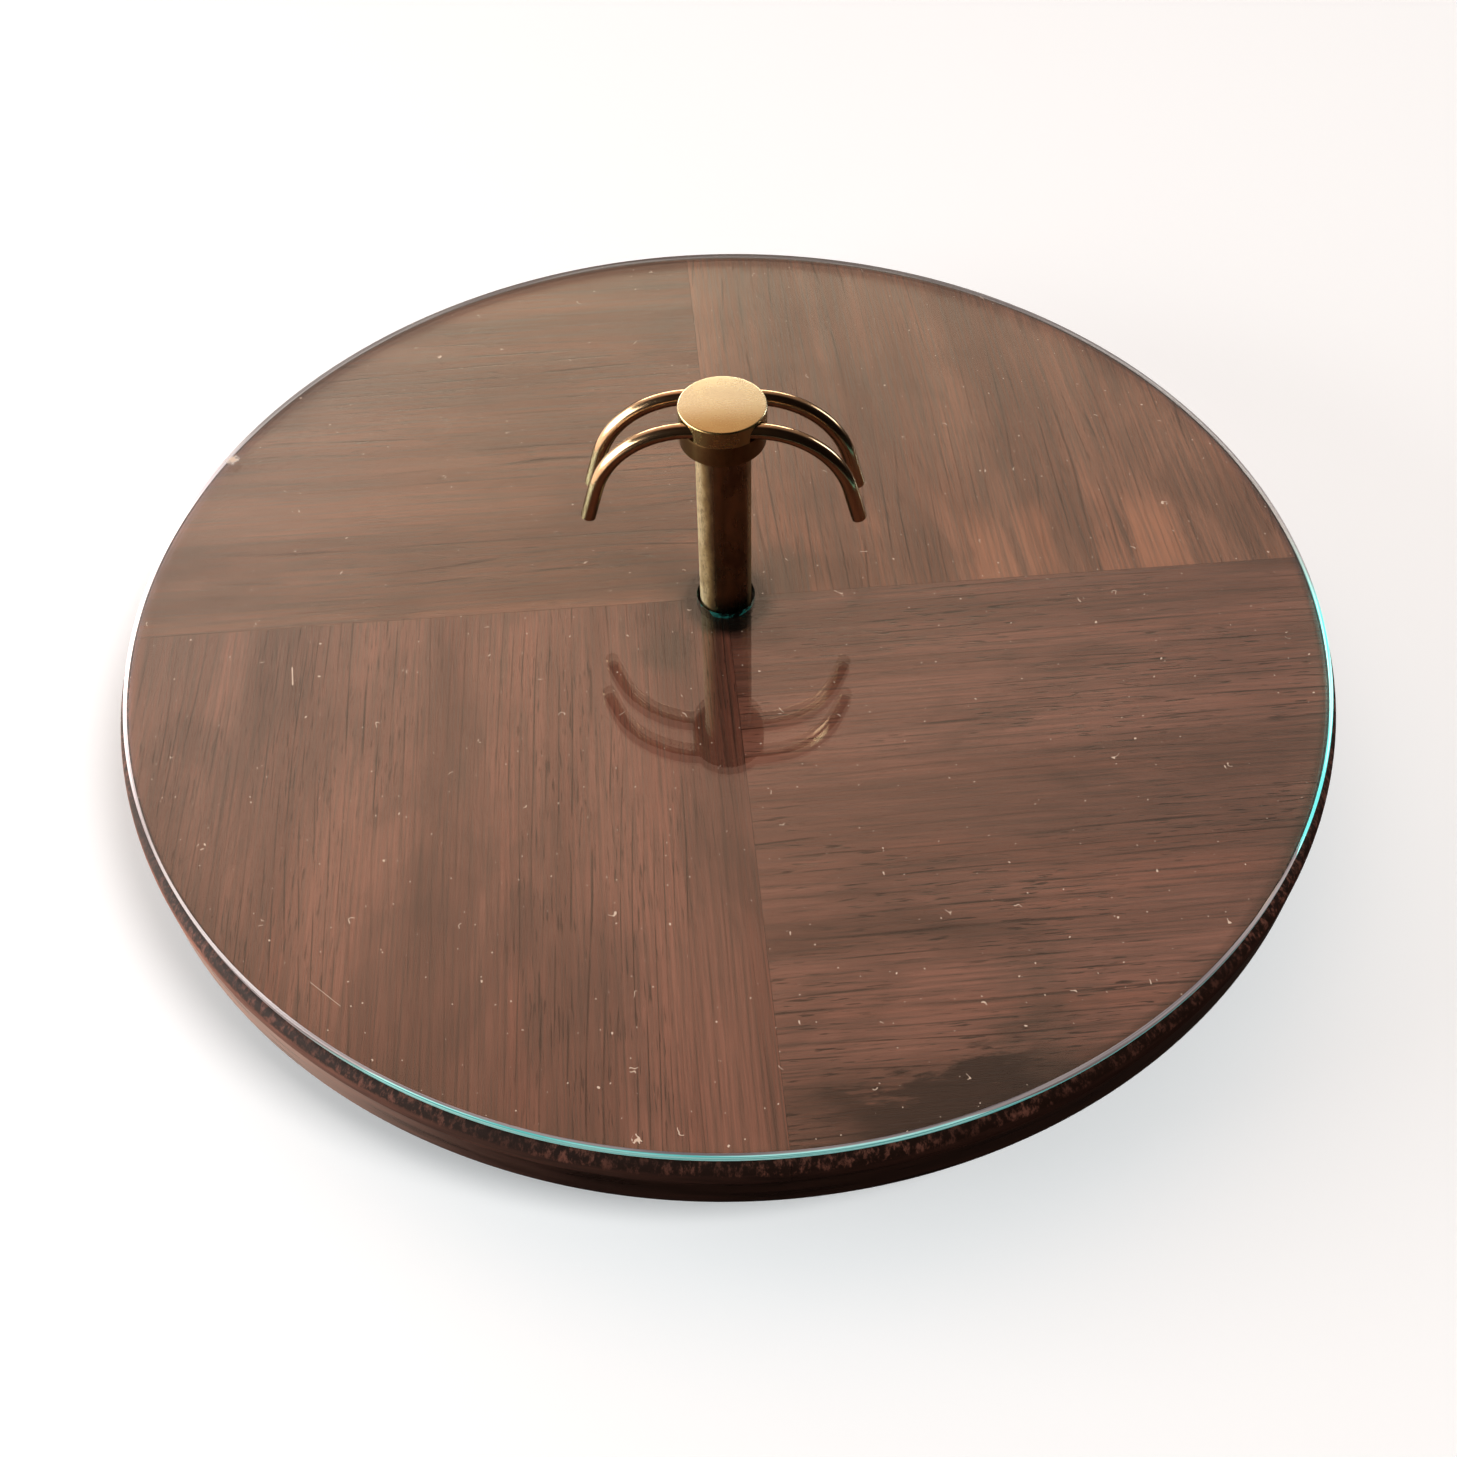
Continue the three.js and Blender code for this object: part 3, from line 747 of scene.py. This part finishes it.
SCRATCHES = (  # start, end and width
    ((0.150, -0.142), (0.1675, -0.1205), 0.25 * MM),
    ((0.1535, -0.1385), (0.166, -0.123), 0.2 * MM),
    ((-0.1475, -0.031), (-0.146, -0.039), 0.45 * MM),
    ((-0.122, -0.152), (-0.112, -0.160), 0.12 * MM),
)
CHIP = (-0.1885, 0.0758, 0.0032)  # x, y and reach


def dust(g):
    """1 on specks of dust, short curled fibres, a few scratches and a chip at the rim."""
    flat, top = lying_on_top(g)
    marks = [specks(g, flat, 120, 0.22 * MM, 0.3), specks(g, flat, 60, 0.36 * MM, 0.65)]
    marks.append(fibres(g, flat))
    marks += [scratch(g, *line) for line in SCRATCHES]
    marks.append(g.near(*CHIP, 0.004, g.noise(g.mapped((600, 600, 600)), detail=2)))
    every = marks[0]
    for mark in marks[1:]:
        every = g.larger(every, mark)
    return g.times(every, top)


def clear_glass():
    """Polished float glass with a little dust on it."""
    g = Graph("clear_glass")
    dirt = dust(g)
    inputs = {
        "Base Color": g.mix(dirt, tint("f4fbf8"), tint("f3dcc6")),
        "Transmission Weight": g.math("MULTIPLY_ADD", dirt, -0.7, 1.0),
        "Roughness": 0.0, "IOR": 1.5,
    }
    shader = g.add("BsdfPrincipled", inputs)
    through = g.add("BsdfTransparent", {"Color": tint("f4fbf8")})
    surface = g.add("MixShader", {0: passes_through(g), 1: shader.outputs[0], 2: through.outputs[0]})
    g.join(g.output.inputs["Surface"], surface.outputs[0])
    return g.material


# Where the plate's green edge, with its painted aqua glow, starts on the right and ends on the left,
# as angles from +X.
GREEN_RIGHT = (0.16, -0.1)
GREEN_LEFT = (-2.05, -2.25)
GREEN_DEPTH = 2.5 * MM  # how far below the plate's top the green stops between front and right
GREEN_RISE = 2.0 * MM  # how much higher it reaches in front
RIGHT_RISE = 0.9 * MM  # and how much higher again on the right


def glass_edge():
    """The ground edge of the plate: pale, and green along the front and the right, with a painted
    aqua glow there that stands for light gathered from across the whole plate, and a painted pale
    glow that grows towards the sides, most on the left. Between them only its lower third is green."""
    g = Graph("glass_edge")
    x, y, z = g.plan()
    angle = g.math("ARCTAN2", y, x)
    right = g.zone(angle, GREEN_RIGHT, (-0.52, -0.68))
    front = g.zone(angle, (-1.1, -1.28), GREEN_LEFT)
    whole = g.zone(angle, GREEN_RIGHT, GREEN_LEFT)
    full = g.larger(right, front)
    top = node_heights("glass_plate")[1]
    raised = g.math("MULTIPLY_ADD", right, RIGHT_RISE, top - GREEN_DEPTH)
    above = g.math("SUBTRACT", z, g.math("MULTIPLY_ADD", full, GREEN_RISE, raised))
    green = g.times(whole, g.step(above, 0.15 * MM, -0.15 * MM))
    streak = g.noise(around(g, 4, 40, 2500), detail=1)
    aqua = g.mix(g.step(streak, 0.42, 0.6), tint("5fc3c1"), tint("b4efeb"))
    pale = g.mix(g.step(streak, 0.4, 0.6), tint("82787a"), tint("a39998"))
    # Painted glow: the edge is no lamp, but emits aqua on the green part and pale light that grows
    # towards the sides.
    painted_green_glow = g.math("MULTIPLY_ADD", right, 0.9, 0.22)
    painted_pale_glow = g.math("MULTIPLY_ADD", g.times(x, x), 17.0, g.step(x, -0.18, -0.205, 0.0, 4.0))
    spread = g.times(green, g.math("SUBTRACT", painted_green_glow, painted_pale_glow))
    colour = g.mix(green, pale, aqua)
    g.principled(
        Base_Color=colour, Roughness=0.2, Specular_IOR_Level=0.2, Emission_Color=colour,
        Emission_Strength=g.math("ADD", spread, painted_pale_glow), Normal=g.bump(streak, 0.2, FINE_RELIEF),
    )
    return g.material


def hole_edge():
    """The drilled wall of the plate's hole: near-black as painted shade of the gap round the stem,
    with patches of teal that paint glints of the green glass.
    """
    g = Graph("hole_edge")
    glint_noise = g.noise(g.mapped((260, 260, 120)), detail=3)
    # Painted shade and glints: near-black stands for the dark gap, teal for glints of the glass.
    colour = g.mix(g.step(glint_noise, 0.4, 0.5), tint("2a7d76"), tint("050c0b"))
    g.principled(Base_Color=colour, Roughness=0.25, Normal=g.bump(glint_noise, 0.2, FINE_RELIEF))
    return g.material


# ---------------------------------------------------------------- base


def disc_profile(radius, low, high, rounding):
    """A solid disc with rounded edges."""
    edge = radius - rounding
    lower = arc((edge, low + rounding), rounding, -90, 0, 8)
    upper = arc((edge, high - rounding), rounding, 0, 90, 8)
    return [(0, low), *lower, *upper, (0, high)]


def upright_hole(centre, radius, low, high):
    """A bmesh that cuts a plain hole."""
    profile = [(0, low), (radius, low), (radius, high), (0, high)]
    return placed(turned(profile, SMALL_SIDES), (centre.x, centre.y, 0))


def screw_names(side):
    return [f"{side}_screw_{number}" for number in range(1, 5)]


def build_base(wood, rubber):
    low, high = node_heights("base_disc")
    profile = disc_profile(node_radius("base_disc"), low, high, BASE_ROUNDING)
    disc = to_object(turned(profile, BIG_SIDES), "base")
    pilots = []
    for screw in screw_names("base"):
        bottom, _ = node_heights(screw)
        pilots.append(upright_hole(node_centre(screw), SCREW_PLAY, bottom - PILOT_PLAY, high + MM))
    access = upright_hole(node_centre("top_screw_1"), ACCESS_HOLE, low - MM, high + MM)
    cut_out(disc, [*pilots, access])
    stand_for(disc, "base_disc", wood)
    for number in range(1, 5):
        build_foot(f"foot_{number}", rubber)


def build_foot(node, rubber):
    low, high = node_heights(node)
    radius = node_radius(node)
    sole = arc((radius - FOOT_ROUNDING, low + FOOT_ROUNDING), FOOT_ROUNDING, -90, 0, 6)
    profile = [(0, low), *sole, (radius, high), (0, high)]
    centre = node_centre(node)
    pad = to_object(placed(turned(profile, SMALL_SIDES), (centre.x, centre.y, 0)), node)
    stand_for(pad, node, rubber)


# ---------------------------------------------------------------- bearing


def countersink(centre, face, into):
    """A countersunk hole with its mouth at height face, going up where into is 1, or down at -1."""
    start = face - into * MM
    rim = face + into * SCREW_SINK
    seat = face + into * (SCREW_SINK + SCREW_HEAD_HEIGHT)
    end = face + into * SCREW_HOLE_DEPTH
    profile = [
        (0, start), (SCREW_HEAD_PLAY, start), (SCREW_HEAD_PLAY, rim), (SCREW_PLAY, seat),
        (SCREW_PLAY, end), (0, end),
    ]
    return placed(turned(profile, SMALL_SIDES), (centre.x, centre.y, 0))


def build_ring(node, screws, outward, aluminium):
    """One ring of the bearing. outward is 1 for the outer ring and -1 for the inner one."""
    low, high = node_heights(node)
    ball_low, ball_high = node_heights("ball_01")
    middle = (ball_low + ball_high) / 2
    face = BALL_CIRCLE + outward * RING_SPLIT
    back = face + outward * RING_WIDTH
    edge = math.degrees(math.acos(RING_SPLIT / BALL_GROOVE))
    start, end = (-edge, edge) if outward > 0 else (180 + edge, 180 - edge)
    groove = arc((BALL_CIRCLE, middle), BALL_GROOVE, start, end, 12)
    profile = [(back, low), (face, low), *groove, (face, high), (back, high)]
    ring = to_object(turned(profile, ROUND_SIDES * 2), node)
    mouth, into = (low, 1) if outward > 0 else (high, -1)
    cut_out(ring, [countersink(node_centre(screw), mouth, into) for screw in screws])
    stand_for(ring, node, aluminium)


def build_ball(node, steel):
    low, high = node_heights(node)
    radius = (high - low) / 2
    profile = [(0, -radius), *arc((0, 0), radius, -80, 80, 16), (0, radius)]
    ball = to_object(placed(turned(profile, SMALL_SIDES), node_centre(node)), node)
    stand_for(ball, node, steel)


def build_bearing(aluminium, steel, nylon):
    build_ring("bearing_inner_ring", screw_names("base"), -1, aluminium)
    build_ring("bearing_outer_ring", screw_names("top"), 1, aluminium)
    for number in range(1, 17):
        build_ball(f"ball_{number:02d}", steel)
    frame["nodes"]["ball_cage"].data.materials[0] = nylon


# ---------------------------------------------------------------- wooden top


def quarter(profile, start, end, seam, steps):
    """A bmesh of profile swept between two angles, its end faces held back by half the seam."""
    mesh = bmesh.new()
    columns = []
    for step in range(steps + 1):
        column = []
        for radius, height in profile:
            held = math.asin(seam / radius)
            angle = start + held + (end - start - 2 * held) * step / steps
            place = (radius * math.cos(angle), radius * math.sin(angle), height)
            column.append(mesh.verts.new(place))
        columns.append(column)
    count = len(profile)
    for near, far in zip(columns, columns[1:]):
        for index in range(count):
            after = (index + 1) % count
            mesh.faces.new((near[index], near[after], far[after], far[index]))
    mesh.faces.new(columns[0])
    mesh.faces.new(columns[-1])
    bmesh.ops.recalc_face_normals(mesh, faces=mesh.faces)
    return mesh


def build_boards():
    outer = node_radius("rim_band")
    edge_wood = board_edge()
    for number, (node, look) in enumerate(QUARTERS.items()):
        low, high = node_heights(node)
        edge = arc((outer - BOARD_ROUNDING, high - BOARD_ROUNDING), BOARD_ROUNDING, 0, 90, 12)
        profile = [(STEM_HOLE, low), (outer, low), *edge, (STEM_HOLE, high)]
        start = BOARD_TURN + number * TAU / 4
        board = to_object(quarter(profile, start, start + TAU / 4, BOARD_SEAM, BIG_SIDES // 4), node)
        wood = board_wood(f"top_wood_{number + 1}", look)
        for material in (wood, edge_wood):
            board.data.materials.append(material)
        for face in board.data.polygons:
            if face.center.xy.length > outer - BOARD_ROUNDING and abs(face.normal.z) < 0.99:
                face.material_index = 1
        stand_for(board, node, wood)


def build_band(wood):
    low, high = node_heights("rim_band")
    outer = node_radius("rim_band")
    inner = outer - BAND_WIDTH
    foot_edge = arc((outer - BAND_ROUNDING, low + BAND_ROUNDING), BAND_ROUNDING, -90, 0, 8)
    profile = [(inner, low), *foot_edge, (outer, high), (inner, high)]
    band = to_object(turned(profile, BIG_SIDES), "band")
    stand_for(band, "rim_band", wood)


def build_glass():
    """The plate, with its rim and the wall of its hole in materials of their own."""
    low, high = node_heights("glass_plate")
    outer = node_radius("glass_plate")
    flat = outer - GLASS_ARRIS
    profile = [
        (GLASS_HOLE, low), (flat, low), (outer, low + GLASS_ARRIS), (outer, high - GLASS_ARRIS),
        (flat, high), (GLASS_HOLE, high),
    ]
    plate = to_object(turned(profile, BIG_SIDES), "glass")
    glass = clear_glass()
    for material in (glass, glass_edge(), hole_edge()):
        plate.data.materials.append(material)
    for face in plate.data.polygons:
        if abs(face.normal.z) < 0.9:
            face.material_index = 1 if face.center.xy.length > 2 * GLASS_HOLE else 2
    stand_for(plate, "glass_plate", glass)


# ---------------------------------------------------------------- handle


def arm_line():
    """Points of an arm's centre line: straight in the middle and bent down at both ends."""
    right = [Vector((ARM_STRAIGHT, 0, 0))]
    for step in range(1, ARM_BEND_STEPS + 1):
        turn = ARM_BEND * step / ARM_BEND_STEPS
        across = ARM_STRAIGHT + ARM_BEND_RADIUS * math.sin(turn)
        right.append(Vector((across, 0, -ARM_BEND_RADIUS * (1 - math.cos(turn)))))
    along = Vector((math.cos(ARM_BEND), 0, -math.sin(ARM_BEND)))
    last = right[-1]
    right += [last + along * reach for reach in (ARM_END / 2, ARM_END - ARM_TIP, ARM_END)]
    left = [Vector((-point.x, 0, point.z)) for point in reversed(right)]
    return left + right


def build_arm(node, offset, material):
    _, high = node_heights(node)
    centre = Matrix.Rotation(HANDLE_TURN, 4, "Z") @ Vector((0, offset, high - ARM_RADIUS))
    rod = placed(swept(arm_line(), ARM_RADIUS, ARM_SIDES, ARM_TIP), centre, HANDLE_TURN)
    stand_for(to_object(rod, node), node, material)


def cap_groove(offset, low):
    """A groove for one arm, open at the cap's underside."""
    radius = ARM_RADIUS + GROOVE_PLAY
    outline = arc((offset, low + ARM_RADIUS), radius, 0, 180, 24)
    outline += [(offset - radius, low - MM), (offset + radius, low - MM)]
    mesh = bmesh.new()
    ends = [[mesh.verts.new((x, y, z)) for y, z in outline] for x in (-GROOVE_REACH, GROOVE_REACH)]
    count = len(outline)
    for index in range(count):
        after = (index + 1) % count
        mesh.faces.new((ends[0][index], ends[0][after], ends[1][after], ends[1][index]))
    mesh.faces.new(ends[0])
    mesh.faces.new(ends[1])
    bmesh.ops.recalc_face_normals(mesh, faces=mesh.faces)
    return placed(mesh, turn=HANDLE_TURN)


def build_cap(material):
    low, high = node_heights("cap")
    radius = node_radius("cap")
    flat = radius - CAP_ROUNDING
    edge = arc((flat, high - CAP_DOME - CAP_ROUNDING), CAP_ROUNDING, 0, 84, 8)
    shares = (0.9, 0.75, 0.6, 0.45, 0.3, 0.15)
    dome = [(flat * share, high - CAP_DOME * share * share) for share in shares]
    profile = [(0, low), (radius, low), *edge, *dome, (0, high)]
    body = to_object(turned(profile, ROUND_SIDES), "cap_body")
    thread = upright_hole(Vector((0, 0, 0)), TIE_HOLE, low - MM, low + THREAD_DEPTH)
    cut_out(body, [cap_groove(-ARM_OFFSET, low), cap_groove(ARM_OFFSET, low)])
    soften(body, CAP_SOFTENING, limit=60)
    cut_out(body, [thread])
    stand_for(body, "cap", material)


def build_collar(material):
    low, high = node_heights("collar")
    radius = node_radius("collar")
    seat = low + SPIGOT_DEPTH + SPIGOT_PLAY
    profile = [
        (TIE_HOLE, low), (SPIGOT_RADIUS, low), (SPIGOT_RADIUS, seat), (radius, seat), (radius, high),
        (TIE_HOLE, high),
    ]
    body = to_object(turned(profile, ROUND_SIDES), "collar_body")
    soften(body, COLLAR_SOFTENING)
    stand_for(body, "collar", material)


def build_stem(material):
    low, high = node_heights("stem")
    radius = node_radius("stem")
    profile = [(STEM_BORE, low), (radius, low), (radius, high), (STEM_BORE, high)]
    body = to_object(turned(profile, ROUND_SIDES), "stem_body")
    soften(body, STEM_SOFTENING)
    stand_for(body, "stem", material)


def build_handle():
    # The satin cap's darker front colour is painted shade.
    satin = brass("satin_brass", "d8d6ba", "cfcba9", "a8925f", 0.22, 0.12, front="b09c6d")
    # The collar's brass is tarnished and also painted darker, as painted shade under the cap.
    dull = brass("shaded_dull_brass", "836744", "664d31", "3c2b1b", 0.3, 0.3)
    bright = brass("bright_brass", "c0a685", "a68c6d", "7a6047", 0.13, 0.12)
    build_stem(stem_brass())
    build_collar(dull)
    build_cap(satin)
    build_arm("front_arm", -ARM_OFFSET, bright)
    build_arm("back_arm", ARM_OFFSET, bright)


def finish_hardware():
    """Screws, tie rod, washer and nut keep their CAD shape and get zinc plating."""
    zinc = metal("zinc_plate", "b4b6b8", "8d9094", 0.28)
    for node in (*screw_names("base"), *screw_names("top"), "tie_rod", "washer", "nut"):
        frame["nodes"][node].data.materials[0] = zinc


# ---------------------------------------------------------------- floor, light and camera

PLATE_RADIUS = 0.206  # the distance unit of the camera's place
CAMERA_DISTANCE = 2.5535 * PLATE_RADIUS
CAMERA_ELEVATION = math.radians(45.97)
CAMERA_TILT = math.radians(-5.212)
CAMERA_ROLL = math.radians(-1.12)
CAMERA_LENS = 36.755


def build_camera():
    """Looks down at the middle of the plate, tilted a little below it."""
    aim = Vector((0, 0, node_heights("glass_plate")[1]))
    back = Vector((0, -math.cos(CAMERA_ELEVATION), math.sin(CAMERA_ELEVATION)))
    data = bpy.data.cameras.new("camera")
    data.lens = CAMERA_LENS
    data.sensor_width = 36
    data.clip_start = 0.01
    camera = bpy.data.objects.new("camera", data)
    bpy.context.scene.collection.objects.link(camera)
    forward = -back
    right = forward.cross(Vector((0, 0, 1))).normalized()
    up = right.cross(forward)
    ahead = forward * math.cos(CAMERA_TILT) + up * math.sin(CAMERA_TILT)
    above = up * math.cos(CAMERA_TILT) - forward * math.sin(CAMERA_TILT)
    side = right * math.cos(CAMERA_ROLL) + above * math.sin(CAMERA_ROLL)
    top = above * math.cos(CAMERA_ROLL) - right * math.sin(CAMERA_ROLL)
    turn = Matrix((side, top, -ahead)).transposed().to_4x4()
    camera.matrix_world = Matrix.Translation(aim + back * CAMERA_DISTANCE) @ turn
    bpy.context.scene.camera = camera


FLOOR_REACH = 12.0


def build_floor():
    """A wide pale floor that glows a little, so that only the deepest shade shows on it."""
    mesh = bmesh.new()
    corners = ((-1, -1), (1, -1), (1, 1), (-1, 1))
    mesh.faces.new([mesh.verts.new((x * FLOOR_REACH, y * FLOOR_REACH, 0)) for x, y in corners])
    floor = to_object(mesh, "floor")
    g = Graph("pale_floor")
    g.principled(
        Base_Color=(0.8, 0.8, 0.8, 1), Roughness=1.0, Specular_IOR_Level=0.0,
        Emission_Color=(0.86, 0.96, 1, 1), Emission_Strength=0.26,
    )
    floor.data.materials.append(g.material)
    floor.visible_glossy = False
    floor.visible_diffuse = False


def add_light(kind, name, place, aim, mirrored, **settings):
    """A lamp at place that points at aim. Metal and glass mirror it only where mirrored is true."""
    data = bpy.data.lights.new(name, kind)
    for key, value in settings.items():
        setattr(data, key, value)
    light = bpy.data.objects.new(name, data)
    bpy.context.scene.collection.objects.link(light)
    light.location = place
    light.rotation_mode = "QUATERNION"
    light.rotation_quaternion = (Vector(aim) - Vector(place)).to_track_quat("-Z", "Y")
    light.visible_glossy = mirrored
    light.visible_transmission = mirrored
    return light


def add_window(name, place, width, height, power, colour=(1.0, 1.0, 1.0)):
    """A bright upright rectangle that faces the handle."""
    return add_light(
        "AREA", name, place, (0, 0, 0.1), True,
        shape="RECTANGLE", size=width, size_y=height, energy=power, color=colour,
    )


def build_lights():
    """A soft sky, a lamp that throws the shadow, a window that lights the left side, and three wide
    ones that only the brass and the glass mirror."""
    add_light("SUN", "sky", (0, 0, 2), (0, 0, 0), False, energy=0.35, angle=math.radians(80))
    add_light("SUN", "lamp", (0.75, -0.4, 1.25), (0, 0, 0), False, energy=1.8, angle=math.radians(20))
    add_window("left_window", (-1.2, -0.16, 0.36), 0.9, 0.5, 11)
    mirrored = [
        add_window("left_wall", (-1.3, -0.1, 0.42), 1.9, 0.8, 32, (1.0, 0.91, 0.82)),
        add_window("back_window", (-0.1, 1.3, 0.47), 1.3, 0.38, 13, (1.0, 0.84, 0.68)),
        add_window("right_window", (1.1, 0.7, 0.4), 0.3, 0.6, 4),
    ]
    for window in mirrored:
        window.visible_diffuse = False


# Colours of the world.
BACKDROP = (0.88, 0.88, 0.87, 1)
BACK_WALL = (1.0, 0.68, 0.5, 1)
LEFT_WALL = (1.05, 0.79, 0.65, 1)
UPPER_WALL = (1.0, 0.59, 0.42, 1)
RIGHT_WALL = (1.0, 0.71, 0.57, 1)


def build_world():
    """A room that is bright and warm to the back and left, and dark in front, to the right and
    below. Seen directly it is a plain pale backdrop."""
    world = bpy.data.worlds.new("room")
    world.use_nodes = True
    bpy.context.scene.world = world
    sky = Nodes(world.node_tree)
    x, y, z = sky.split(sky.add("TexCoord").outputs["Generated"])
    leftness = sky.step(x, -0.3, 0.55, 1.36, 0.42)
    backness = sky.step(y, 0.0, 0.6, 0.03, 1.0)
    above = sky.times(sky.step(z, -0.15, 0.1, 0.08, 1.0), sky.step(z, 0.5, 0.64, 0.8, 1.0))
    overhead = sky.step(z, 0.79, 0.92, 1.0, 0.82)
    upper = sky.times(sky.times(sky.times(leftness, backness), above), overhead)
    low_left = sky.times(sky.step(z, 0.0, -0.15), sky.step(x, -0.4, -0.7, 0.01, 2.4))
    low_wall = sky.mix(sky.step(x, -0.1, -0.35), BACK_WALL, LEFT_WALL)
    wall = sky.mix(sky.step(z, 0.55, 0.9), low_wall, UPPER_WALL)
    colour = sky.mix(sky.step(x, 0.0, 0.45), wall, RIGHT_WALL)
    seen = sky.add("LightPath").outputs["Is Camera Ray"]
    background = world.node_tree.nodes["Background"]
    sky.join(background.inputs["Color"], sky.mix(seen, colour, BACKDROP))
    strength = sky.larger(sky.math("ADD", upper, low_left), seen)
    sky.join(background.inputs["Strength"], strength)


# ---------------------------------------------------------------- the whole scene


def build_object():
    base_wood = straight_wood("base_wood", "4a2618", "2c150e", 0.4, 0.3)
    rubber = matt("foot_rubber", "1b1a1a", "262524", 0.85, 900)
    build_base(base_wood, rubber)
    aluminium = metal("bearing_aluminium", "b9bcc0", "9da1a6", 0.3)
    steel = metal("ball_steel", "d2d4d7", "bcbfc3", 0.08)
    nylon = matt("cage_nylon", "e2dcca", "d3ccb8", 0.5, 700)
    build_bearing(aluminium, steel, nylon)
    frame["nodes"]["core_disc"].data.materials[0] = plywood()
    build_band(rim_wood())
    build_boards()
    build_glass()
    build_handle()
    finish_hardware()


build_object()
build_camera()
build_floor()
build_world()
build_lights()
bpy.context.scene.view_settings.view_transform = "Standard"
